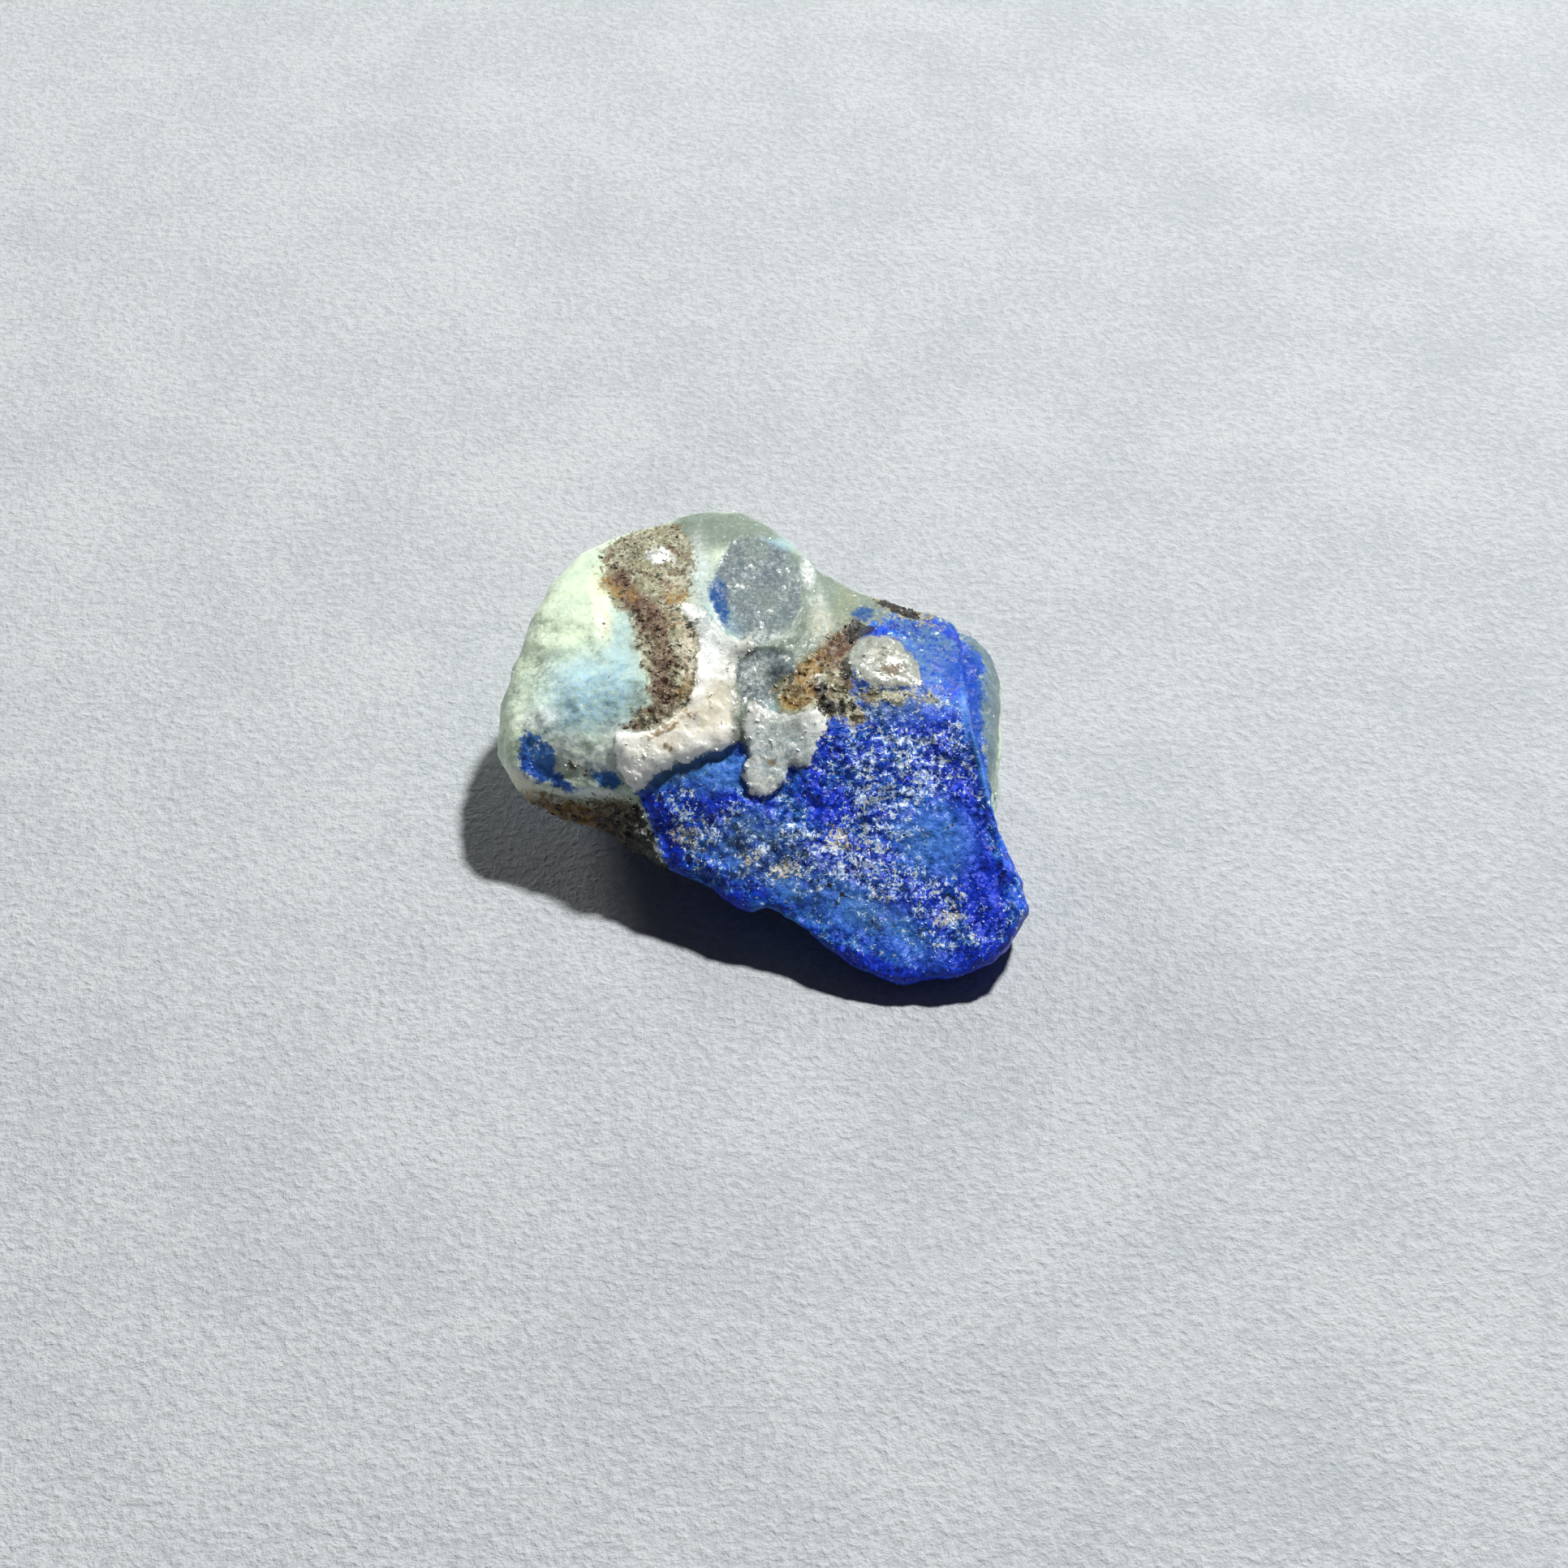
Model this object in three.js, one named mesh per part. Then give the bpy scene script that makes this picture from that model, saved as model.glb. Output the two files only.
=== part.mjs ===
// A rough, unpolished piece of afghanite rock: a blue break face that leans forward, a pale green
// shoulder on the left, a glassy grey hollow on top, and white calcite crusts that stand a little
// proud between them. It is one natural piece, so it is one closed solid.
//
// Millimetres. +X is to the stone's right, +Y to its back and +Z up. The origin is the middle of the
// bounding box's bottom, and the stone rests on the small flat break face at Z = 0.
import * as THREE from "three";
import { ImprovedNoise } from "three/addons/math/ImprovedNoise.js";
import { mergeVertices } from "three/addons/utils/BufferGeometryUtils.js";

// ---- The stone as a whole -------------------------------------------------------------------
// The surface is looked for outwards from a flat core that lies inside the stone.
const CORE = {
  middle: [0.8, 0.3, 4.5],
  reach: [5.6, 5.4], // how far the core spreads across and back
  rise: 1.1, // how much higher its back edge lies than its middle
};
// Directions are drawn together around the show side, so that its relief gets finer faces.
const SHOW_SIDE = new THREE.Vector3(-0.1, -0.36, 0.93);
const DRAWN_TOGETHER = 0.32;
const FINENESS = 21; // each edge of an icosahedron is cut into this many parts and one more
const EDGE_TURNS = 4; // rounds of turning edges to follow the ridges
const SETTLING = 0.4; // the share by which corners are drawn to the middle of their neighbours
const EDGE_ROUNDING = 0.8; // width over which two break faces run into each other
const RIM_ROUNDING = 0.45; // the same where a break face meets the rim
const REST_ROUNDING = 0.4; // the same around the face it rests on

// The stone's show side is described as it is seen from a point in front and above.
const SHOW_TILT = THREE.MathUtils.degToRad(42); // how far above the ground that point stands
const SHOW_DISTANCE = 150; // from the middle of the stone to that point
const MIDDLE = new THREE.Vector3(0, 0, 5);
const RIGHT = new THREE.Vector3(1, 0, 0);
const UP = new THREE.Vector3(0, Math.sin(SHOW_TILT), Math.cos(SHOW_TILT));
const TOWARDS = new THREE.Vector3(0, -Math.cos(SHOW_TILT), Math.sin(SHOW_TILT));

// The rim is the closed line where the show side turns over into the underside and the back,
// clockwise from the top: across and up from the middle, and how far it stands towards the show
// point. Behind the rim the walls draw in by UNDERCUT for each millimetre.
const RIM = [
  [-2.9, 11.55, -5.7], [-0.3, 11.1, -5.2], [1.1, 10.5, -4.6], [1.9, 9.65, -4.0],
  [2.6, 8.8, -3.5], [4.2, 8.15, -3.3], [7.2, 6.95, -2.4], [9.8, 5.9, -1.6],
  [10.95, 5.3, -2.0], [11.3, 4.2, -2.5], [11.4, 0.8, -0.9], [11.25, -1.6, 0.6],
  [11.25, -3.8, 2.0], [11.9, -5.5, 2.4], [12.5, -7.0, 2.7], [12.1, -8.7, 3.7],
  [10.8, -10.1, 5.0], [8.9, -10.95, 6.1], [7.0, -11.15, 6.2], [5.1, -10.65, 6.0],
  [2.0, -8.75, 5.3], [0.55, -7.95, 5.0], [-0.7, -8.1, 4.8], [-2.2, -6.95, 4.1],
  [-4.4, -5.6, 2.9], [-6.3, -4.4, 1.8], [-8.9, -3.6, 0.9], [-11.2, -2.25, 0.2],
  [-12.15, -0.4, -1.0], [-12.25, 1.9, -2.8], [-11.35, 4.1, -3.8], [-10.4, 6.5, -5.0],
  [-8.9, 8.9, -5.6], [-6.3, 10.4, -5.5], [-4.5, 10.95, -5.1],
];
const UNDERCUT = 0.55;
const RIM_SPARE = 0.1; // what the rounding takes off the rim is given back here
const PARTING = 0.9; // how fast the show side may fall behind the rim, for each millimetre inwards

// Break faces: each is a plane through a point, with the way it faces. Where two planes share a
// line they meet in a hollow corner, otherwise in a ridge.
const BREAK_FACES = [
  [{ through: [7, -12, 1], faces: [-0.1, -0.75, 1] }], // the blue face
  [{ through: [0, 4, 10.2], faces: [0.04, -0.14, 1] }], // the crown
  [{ through: [4, 3.5, 9.8], faces: [0.16, 0.04, 1] }], // the crown's right part
  [{ through: [-6.4, 1, 8.9], faces: [-0.22, -0.06, 1] }], // the shoulder
  [{ through: [-11.3, 1.5, 6.3], faces: [-0.8, -0.1, 0.6] }], // the shoulder's left edge
  [{ through: [-9.6, -1.6, 5.6], faces: [-0.35, -0.75, 0.6] }], // the shoulder's front edge
  [
    { through: [-7.2, -3.2, 4.9], faces: [-0.3, -0.94, 0.15] }, // the wall under the shoulder
    { through: [-4.6, -6.2, 3.2], faces: [-0.74, -0.66, 0.15] }, // the wall beside the blue face
  ],
  [{ through: [9.85, 0.65, 9.3], faces: [1, 0, 0.7] }], // the slope right of the right ridge
  [
    { through: [7.2, 4, 9.3], faces: [0.25, 0.33, 1] }, // the slope behind the right ridge
    { through: [2.6, 8, 9], faces: [1, -0.1, 0.3] }, // where it ends against the crown
  ],
  [
    { through: [7.3, 6.9, 8], faces: [0.43, 0.9, -0.05] }, // the right part of the back
    { through: [2.4, 9.2, 8], faces: [0.75, 0.65, 0] },
  ],
  [{ through: [0, 12.5, 8], faces: [-0.05, 1, -0.05] }], // the back
  [{ through: [-9.9, 9.5, 7], faces: [-0.79, 0.61, -0.08] }], // the left part of the back
  [{ through: [-12.4, 4.8, 5], faces: [-0.94, 0.34, -0.15] }],
  [{ through: [-2, 11.2, 2.2], faces: [-0.1, 0.75, -0.65] }], // the chamfer low at the back
];

// ---- Relief of the show side, in millimetres across and up from the middle --------------------
// Crusts with a crisp edge. They stand HEIGHT proud and fall off over EDGE.
const CRUSTS = [
  {
    name: "calcite beside the shoulder", height: 0.34, edge: 0.7,
    outline: [
      [-6.8, 0.75], [-5.5, 0.85], [-4.6, 1.15], [-3.7, 1.8], [-3.2, 2.9], [-2.95, 4.2],
      [-2.85, 5.65], [-3.95, 7.0], [-2.8, 6.8], [-2.1, 6.1], [-1.3, 5.35], [-0.4, 5.35],
      [-0.15, 4.9], [-1.1, 4.1], [-1.2, 2.9], [-0.9, 2.2], [-0.9, 0.5], [-1.8, 0.05],
      [-3.0, -0.3], [-3.85, -0.55], [-5.0, -1.1], [-5.9, -1.9], [-6.6, -0.9],
    ],
  },
  {
    name: "calcite in the middle", height: 0.3, edge: 0.7,
    outline: [
      [-0.8, 1.6], [-0.2, 2.25], [1.0, 1.7], [2.6, 2.0], [3.2, 1.3], [2.65, 0.3], [2.4, -0.7],
      [1.4, -0.7], [1.2, -1.4], [0.3, -2.15], [-0.5, -1.8], [-0.7, -0.7], [-0.5, 0.2],
    ],
  },
  {
    name: "calcite disc", height: 0.26, edge: 0.7,
    outline: [
      [4.3, 4.3], [4.8, 5.2], [5.4, 5.4], [6.1, 5.4], [7.1, 4.7], [7.5, 3.7], [7.6, 3.1],
      [6.5, 3.1], [5.5, 3.05], [5.0, 3.3], [4.6, 3.4],
    ],
  },
  {
    name: "glassy boss", height: 0.4, edge: 0.9,
    outline: [
      [-2.8, 10.6], [-1.2, 11.1], [0.8, 10.6], [1.9, 9.5], [2.4, 8.3], [2.4, 6.9], [2.0, 5.9],
      [1.4, 5.1], [0.5, 4.7], [-1.0, 4.8], [-2.4, 6.2], [-3.0, 7.4], [-3.2, 9.0],
    ],
  },
];
// Hollows are bowls: middle, reach across and up, depth, and softness, which is 1 for a bowl with a
// crisp edge and 2 for one that runs out gently.
const HOLLOWS = [
  { middle: [-0.05, 7.55], reach: [2.15, 2.65], depth: 0.6, softness: 1 }, // the glassy disc
  { middle: [0.5, 3.2], reach: [1.3, 1.7], depth: 0.4, softness: 2 }, // the grey corner under it
  { middle: [3.4, -3.4], reach: [4.4, 3.2], depth: 0.15, softness: 2 }, // in the blue face
  { middle: [8.6, -8.2], reach: [3.2, 2.2], depth: 0.12, softness: 2 }, // near the blue tip
  { middle: [8.4, -0.6], reach: [2.4, 3.4], depth: 0.18, softness: 2 }, // beside the right ridge
  { middle: [-8.2, 3.2], reach: [3.6, 3.4], depth: 0.3, softness: 2 }, // in the shoulder
];
// Seams run along a line. A positive rise is a welt, a negative one a groove.
const SEAMS = [
  { name: "rusty seam by the disc", width: 0.6, rise: -0.3, line: [[0.9, 2.2], [2.9, 4.1], [4.7, 5.7]] },
  {
    name: "rusty crust on the shoulder", width: 0.8, rise: 0.2,
    line: [[-5.2, 9.9], [-5.7, 8.0], [-4.7, 6.3], [-3.9, 4.7], [-3.9, 3.0], [-5.0, 1.5]],
  },
  { name: "pale line on the right ridge", width: 0.6, rise: 0.15, line: [[10.3, 1.0], [11.0, -2.4]] },
];
// Small rounded knobs low on the right, in space: middle and radius.
const KNOBS = [
  { middle: [11.25, -5.3, 2.9], radius: 0.75 },
  { middle: [11.6, -6.55, 1.8], radius: 0.85 },
  { middle: [11.5, -7.9, 1.15], radius: 0.8 },
];
const KNOB_ROUNDING = 0.5;

// ---- Roughness ------------------------------------------------------------------------------
// Shallow round hollows where flakes have come off the underside and the back.
const FLAKES = { count: 120, seed: 11, radius: [3, 8], depth: [0.15, 0.6], behind: 1.5 };
// Unevenness: the length of its waves and how far they stand out, on the show side and elsewhere.
const UNEVENNESS = [
  { length: 4.1, show: 0.14, hidden: 0.4 },
  { length: 1.9, show: 0.07, hidden: 0.16 },
];

// ---- Shape ----------------------------------------------------------------------------------
const noise = new ImprovedNoise();
const breakFaces = BREAK_FACES.map((corner) =>
  corner.map(({ through, faces }) =>
    new THREE.Plane().setFromNormalAndCoplanarPoint(
      new THREE.Vector3(...faces).normalize(),
      new THREE.Vector3(...through),
    ),
  ),
);
const rim = roundedLine(RIM);
const crusts = CRUSTS.map((crust) => ({
  ...crust,
  line: roundedLine(crust.outline.map(([across, up]) => [across, up, 0])),
}));
const knobs = KNOBS.map(({ middle, radius }) => new THREE.Sphere(new THREE.Vector3(...middle), radius));
const flakes = [];

// A closed line through the given points, as many short pieces.
function roundedLine(points) {
  const curve = new THREE.CatmullRomCurve3(
    points.map((point) => new THREE.Vector3(...point)),
    true,
    "centripetal",
  );
  return curve.getPoints(points.length * 4).slice(0, -1);
}

// Where a point appears on the show side: across and up from the middle, and how far it stands out.
function shown(point) {
  const offset = point.clone().sub(MIDDLE);
  const depth = offset.dot(TOWARDS);
  const shrink = SHOW_DISTANCE / (SHOW_DISTANCE - depth);
  return { across: offset.dot(RIGHT) * shrink, up: offset.dot(UP) * shrink, depth };
}

// The share along a to b of the place nearest to a point, and the distance to it.
function nearestOnPiece(a, b, across, up) {
  const ex = b.x - a.x;
  const ey = b.y - a.y;
  const along = ((across - a.x) * ex + (up - a.y) * ey) / (ex * ex + ey * ey);
  const share = THREE.MathUtils.clamp(along, 0, 1);
  return { share, distance: Math.hypot(across - a.x - ex * share, up - a.y - ey * share) };
}

// Distance from a place on the show side to a closed line, negative inside it, and how far that
// line stands out there.
function nearestOnLine(line, across, up) {
  let nearest = Infinity;
  let depth = 0;
  let inside = false;
  for (let i = 0, j = line.length - 1; i < line.length; j = i++) {
    const a = line[j];
    const b = line[i];
    const { share, distance } = nearestOnPiece(a, b, across, up);
    if (distance < nearest) {
      nearest = distance;
      depth = a.z + (b.z - a.z) * share;
    }
    const crosses = a.y > up !== b.y > up;
    if (crosses && across < a.x + ((up - a.y) / (b.y - a.y)) * (b.x - a.x)) inside = !inside;
  }
  return { distance: inside ? -nearest : nearest, depth };
}

// The larger of two distances, with a rounded change from one to the other.
function roundedMax(a, b, width) {
  const share = Math.max(width - Math.abs(a - b), 0) / width;
  return Math.max(a, b) + share * share * width * 0.25;
}

// How far the show side stands proud at a place, from its crusts, hollows and seams.
function relief(across, up) {
  let height = 0;
  for (const crust of crusts) {
    const { distance } = nearestOnLine(crust.line, across, up);
    height += crust.height * THREE.MathUtils.smoothstep(-distance, -crust.edge / 2, crust.edge / 2);
  }
  for (const { middle, reach, depth, softness } of HOLLOWS) {
    const out = Math.hypot((across - middle[0]) / reach[0], (up - middle[1]) / reach[1]);
    height -= depth * Math.max(1 - out * out, 0) ** softness;
  }
  for (const { line, width, rise } of SEAMS) {
    let nearest = Infinity;
    for (let i = 1; i < line.length; i++) {
      const a = new THREE.Vector2(...line[i - 1]);
      const b = new THREE.Vector2(...line[i]);
      nearest = Math.min(nearest, nearestOnPiece(a, b, across, up).distance);
    }
    height += rise * Math.exp(-((nearest / width) ** 2));
  }
  return height;
}

// How uneven the surface is at a point; showing is 1 on the show side and 0 elsewhere.
function unevenness(point, showing) {
  let height = 0;
  for (const { length, show, hidden } of UNEVENNESS) {
    const amount = THREE.MathUtils.lerp(hidden, show, showing);
    height += amount * noise.noise(point.x / length + 9, point.y / length + 4, point.z / length);
  }
  return height;
}

// How far a point lies behind the rim, and behind the parting between show side and hidden side.
function placeAtRim({ across, up, depth }) {
  const edge = nearestOnLine(rim, across, up);
  const behind = edge.depth - depth;
  return { edge, behind, hidden: behind + PARTING * Math.min(edge.distance, 0) };
}

// Distance from a point to the stone's surface, negative inside.
function stoneDistance(point) {
  const place = shown(point);
  const { edge, behind, hidden } = placeAtRim(place);
  const showing = THREE.MathUtils.smoothstep(-hidden, -0.4, 0.4);
  const within = THREE.MathUtils.smoothstep(-edge.distance, 0, 0.8);
  let distance = -Infinity;
  for (const corner of breakFaces) {
    const face = Math.min(...corner.map((plane) => plane.distanceToPoint(point)));
    distance = distance === -Infinity ? face : roundedMax(distance, face, EDGE_ROUNDING);
  }
  if (showing > 0) distance -= relief(place.across, place.up) * showing * within;
  distance -= unevenness(point, showing) * (1 - showing * (1 - within));
  const wall = edge.distance - RIM_SPARE + UNDERCUT * Math.max(behind, 0);
  distance = roundedMax(distance, wall - unevenness(point, 0) * (1 - showing), RIM_ROUNDING);
  for (const knob of knobs) {
    distance = -roundedMax(-distance, -knob.distanceToPoint(point), KNOB_ROUNDING);
  }
  for (const flake of flakes) {
    distance = Math.max(distance, Math.min(-flake.distanceToPoint(point), hidden / 2 - 0.2));
  }
  return roundedMax(distance, -point.z, REST_ROUNDING);
}

// The way the surface faces at a point.
function facing(point) {
  const step = 0.05;
  const along = (x, y, z) => stoneDistance(point.clone().add(new THREE.Vector3(x, y, z)));
  return new THREE.Vector3(
    along(step, 0, 0) - along(-step, 0, 0),
    along(0, step, 0) - along(0, -step, 0),
    along(0, 0, step) - along(0, 0, -step),
  ).normalize();
}

// The surface point in one direction from the core.
function surfacePoint(direction) {
  const from = new THREE.Vector3(
    CORE.middle[0] + CORE.reach[0] * direction.x,
    CORE.middle[1] + CORE.reach[1] * direction.y,
    CORE.middle[2] + CORE.rise * direction.y,
  );
  let inside = 0;
  let outside = 16;
  for (let step = 0; step < 18; step++) {
    const half = (inside + outside) / 2;
    const point = from.clone().addScaledVector(direction, half);
    if (stoneDistance(point) < 0) inside = half;
    else outside = half;
  }
  return from.addScaledVector(direction, inside);
}

// Flakes come off wherever the seeded directions meet the surface behind the rim.
function breakFlakes() {
  THREE.MathUtils.seededRandom(FLAKES.seed);
  const between = ([low, high]) => low + (high - low) * THREE.MathUtils.seededRandom();
  for (let i = 0; i < FLAKES.count; i++) {
    const direction = new THREE.Vector3(between([-1, 1]), between([-1, 1]), between([-0.9, 0.5]));
    const radius = between(FLAKES.radius);
    const depth = between(FLAKES.depth);
    const point = surfacePoint(direction.normalize());
    if (placeAtRim(shown(point)).hidden < FLAKES.behind || point.z < 1) continue;
    const middle = point.clone().addScaledVector(facing(point), radius - depth);
    flakes.push(new THREE.Sphere(middle, radius));
  }
}

// Draws each corner part of the way to the middle of its neighbours, which evens the edges out.
function settle(geometry) {
  const position = geometry.getAttribute("position");
  const neighbours = Array.from({ length: position.count }, () => new Set());
  const corners = geometry.getIndex().array;
  for (let i = 0; i < corners.length; i += 3) {
    for (let k = 0; k < 3; k++) {
      neighbours[corners[i + k]].add(corners[i + ((k + 1) % 3)]);
      neighbours[corners[i + k]].add(corners[i + ((k + 2) % 3)]);
    }
  }
  const before = position.clone();
  const point = new THREE.Vector3();
  const middle = new THREE.Vector3();
  neighbours.forEach((around, i) => {
    middle.set(0, 0, 0);
    for (const j of around) middle.add(point.fromBufferAttribute(before, j));
    point.fromBufferAttribute(before, i).lerp(middle.divideScalar(around.size), SETTLING);
    position.setXYZ(i, point.x, point.y, before.getZ(i) > 0 ? point.z : 0);
  });
}

// Turns the shared edge of two faces the other way where that lies closer to the true surface, so
// that the ridges run straight.
function turnEdges(geometry) {
  const position = geometry.getAttribute("position");
  const index = geometry.getIndex();
  const corner = (i) => new THREE.Vector3().fromBufferAttribute(position, i);
  const miss = (i, j) => Math.abs(stoneDistance(corner(i).lerp(corner(j), 0.5)));
  const normal = (i, j, k) => new THREE.Triangle(corner(i), corner(j), corner(k)).getNormal(new THREE.Vector3());
  const halves = new Map();
  for (let face = 0; face < index.count / 3; face++) {
    for (let k = 0; k < 3; k++) {
      const from = index.getX(face * 3 + k);
      const to = index.getX(face * 3 + ((k + 1) % 3));
      halves.set(`${from} ${to}`, { face, from, to, opposite: index.getX(face * 3 + ((k + 2) % 3)) });
    }
  }
  const turned = new Set();
  for (const half of halves.values()) {
    const { face, from, to, opposite } = half;
    const other = halves.get(`${to} ${from}`);
    if (from > to || turned.has(face) || turned.has(other.face)) continue;
    if (halves.has(`${opposite} ${other.opposite}`)) continue;
    const missed = miss(from, to);
    if (missed < 0.015 || miss(opposite, other.opposite) > missed * 0.6) continue;
    const before = normal(from, to, opposite).add(normal(to, from, other.opposite)).normalize();
    const first = normal(opposite, from, other.opposite);
    const second = normal(other.opposite, to, opposite);
    if (first.dot(before) < 0.6 || second.dot(before) < 0.6) continue;
    [opposite, from, other.opposite].forEach((value, k) => index.setX(face * 3 + k, value));
    [other.opposite, to, opposite].forEach((value, k) => index.setX(other.face * 3 + k, value));
    turned.add(face).add(other.face);
  }
  return turned.size;
}

function stoneGeometry() {
  const ball = new THREE.IcosahedronGeometry(1, FINENESS);
  ball.deleteAttribute("normal");
  ball.deleteAttribute("uv");
  const geometry = mergeVertices(ball, 1e-5);
  const position = geometry.getAttribute("position");
  const direction = new THREE.Vector3();
  for (let i = 0; i < position.count; i++) {
    direction.fromBufferAttribute(position, i);
    direction.addScaledVector(SHOW_SIDE, DRAWN_TOGETHER).normalize();
    const point = surfacePoint(direction);
    position.setXYZ(i, point.x, point.y, Math.max(point.z, 0));
  }
  for (let round = 0; round < EDGE_TURNS; round++) turnEdges(geometry);
  settle(geometry);
  const box = new THREE.Box3().setFromBufferAttribute(position);
  const middle = box.getCenter(new THREE.Vector3());
  return geometry.translate(-middle.x, -middle.y, -box.min.z);
}

breakFlakes();
const stone = new THREE.Mesh(
  stoneGeometry(),
  new THREE.MeshStandardMaterial({ color: 0x3a5fb8, roughness: 0.55, metalness: 0 }),
);
stone.name = "afghanite_stone";
const specimen = new THREE.Group();
specimen.add(stone);
export default specimen;
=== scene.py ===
"""Looks of the afghanite specimen: a rough chip of blue rock, 25 mm across, with calcite crusts.

The stone keeps the outline of its CAD solid. Its mesh is refined, roughened mineral by mineral and
dressed with one procedural rock finish, and small crystals are set into it as joined meshes.
Lengths are in millimetres, except in `Studio` and where a comment says otherwise.
"""

from __future__ import annotations

import logging
import math
from dataclasses import dataclass, field
from enum import Enum

import bmesh
import bpy
import numpy as np
from mathutils import Matrix, Vector, noise
from mathutils.bvhtree import BVHTree


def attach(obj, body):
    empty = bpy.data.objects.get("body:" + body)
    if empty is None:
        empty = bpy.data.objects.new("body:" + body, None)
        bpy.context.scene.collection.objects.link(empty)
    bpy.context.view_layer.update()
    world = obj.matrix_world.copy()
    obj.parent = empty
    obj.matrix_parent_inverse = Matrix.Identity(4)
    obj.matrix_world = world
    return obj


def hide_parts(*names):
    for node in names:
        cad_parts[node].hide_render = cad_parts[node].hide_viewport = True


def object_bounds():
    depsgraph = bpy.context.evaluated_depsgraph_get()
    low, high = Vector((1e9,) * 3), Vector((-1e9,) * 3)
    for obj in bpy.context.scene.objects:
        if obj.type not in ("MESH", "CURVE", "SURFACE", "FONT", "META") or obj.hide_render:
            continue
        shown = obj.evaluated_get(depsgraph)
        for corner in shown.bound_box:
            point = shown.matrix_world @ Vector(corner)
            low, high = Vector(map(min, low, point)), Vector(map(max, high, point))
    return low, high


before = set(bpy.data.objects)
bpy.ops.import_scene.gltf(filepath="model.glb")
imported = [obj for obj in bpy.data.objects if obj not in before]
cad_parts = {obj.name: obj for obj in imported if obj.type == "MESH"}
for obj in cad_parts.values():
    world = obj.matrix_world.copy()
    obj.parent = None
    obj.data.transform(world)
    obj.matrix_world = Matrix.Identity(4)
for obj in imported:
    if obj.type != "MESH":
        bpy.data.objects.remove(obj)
CAD_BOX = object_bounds()

LOG = logging.getLogger("afghanite")
MM = 0.001
STONE_NODE = "afghanite_stone"
NOISE_SEED = 11  # without it, the slow drift of the hidden pattern differs each run
LEVEL = 1e-9  # stands for the rise of a level line, which is divided by
SPOT_FADE = (1.35, 0.85)  # a spot's fade in its middle, before it is cut to 1, and the loss per radius
BLOCK_STEP, BLOCK_SLOPE = 0.7, 0.9  # how much the blocks of a broken face differ and slope

Points = tuple[tuple[float, float], ...]


class Mark(Enum):
    """The minerals and tints that the stone's surface shows. Each is one attribute of its mesh."""

    AFGHANITE = "afghanite"
    CALCITE = "calcite"
    RUST = "rust"
    GLASS = "glass"
    NEEDLES = "needles"
    HAZE_AND_PAINTED_LIGHT = "haze_and_painted_light"
    TAN = "tan"
    CREAM = "cream"
    SKY = "sky"
    MOSS = "moss"
    FROST_AND_PAINTED_LIGHT = "frost_and_painted_light"
    SOOT = "soot"
    GOLD = "gold"
    UMBER = "umber"
    DEEP = "deep"
    DYE_AND_PAINTED_SHADE = "dye_and_painted_shade"
    SLATE = "slate"
    GLINT = "glint"


ZONES = (Mark.AFGHANITE, Mark.CALCITE, Mark.RUST, Mark.GLASS)


@dataclass(frozen=True)
class ShowView:
    """The direction that the specimen is shown from, and the flat plate that places are given on.

    A place on the plate is (across, up) in millimetres from `middle`, seen from `distance` away.
    The camera sees `half_width` to each side of it, moved by `shift` of its picture's width. `draw` is
    how far patterns are drawn out along the direction, so that slopes show them unstretched.
    """

    tilt: float = math.radians(42)
    distance: float = 150.0
    middle: tuple[float, float, float] = (0.0357, -0.5705, 5.0)
    half_width: float = 37.15
    shift: tuple[float, float] = (0.0160, -0.0212)
    draw: float = 1.8

    @property
    def towards(self) -> np.ndarray:
        """Returns the direction from the stone to the eye."""
        return np.array([0.0, -math.cos(self.tilt), math.sin(self.tilt)])

    @property
    def upwards(self) -> np.ndarray:
        """Returns the direction that is up on the plate."""
        return np.array([0.0, math.sin(self.tilt), math.cos(self.tilt)])

    @property
    def eye(self) -> np.ndarray:
        """Returns the eye's place."""
        return np.array(self.middle) + self.towards * self.distance

    def places(self, points: np.ndarray) -> tuple[np.ndarray, np.ndarray]:
        """Finds where points show on the plate.

        Args:
            points: n by 3 places in millimetres.

        Returns:
            The across and up of each point.
        """
        offset = points - np.array(self.middle)
        depth = offset @ self.towards
        spread = self.distance / (self.distance - depth)
        return offset[:, 0] * spread, (offset @ self.upwards) * spread


SHOW = ShowView()


def against_lines(
    across: np.ndarray, up: np.ndarray, start: np.ndarray, end: np.ndarray
) -> tuple[np.ndarray, np.ndarray, np.ndarray, np.ndarray]:
    """Measures places on the plate against straight lines.

    Args:
        across: places across the plate.
        up: places up the plate.
        start: one end of each line.
        end: the other end.

    Returns:
        The lines as vectors, the places' two offsets from each start and their gap to each line.
    """
    side = end - start
    x, y = across[:, None] - start[:, 0], up[:, None] - start[:, 1]
    along = np.clip((x * side[:, 0] + y * side[:, 1]) / (side**2).sum(1), 0, 1)
    return side, x, y, np.hypot(x - along * side[:, 0], y - along * side[:, 1])


@dataclass(frozen=True)
class Outline:
    """A mineral patch with a drawn edge on the show plate."""

    mark: Mark
    points: Points

    def inside(self, across: np.ndarray, up: np.ndarray) -> np.ndarray:
        """Measures how far inside the edge each place is, negative outside.

        Args:
            across: places across the plate.
            up: places up the plate.

        Returns:
            The signed distance in millimetres.
        """
        start = np.array(self.points)
        end = np.roll(start, -1, axis=0)
        side, _, y, gaps = against_lines(across, up, start, end)
        gap = gaps.min(1)
        above = (start[:, 1] > up[:, None]) != (end[:, 1] > up[:, None])
        rise = np.where(side[:, 1] == 0, LEVEL, side[:, 1])
        crossing = start[:, 0] + y * side[:, 0] / rise
        odd = (above & (across[:, None] < crossing)).sum(1) % 2 == 1
        return np.where(odd, gap, -gap)


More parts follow.
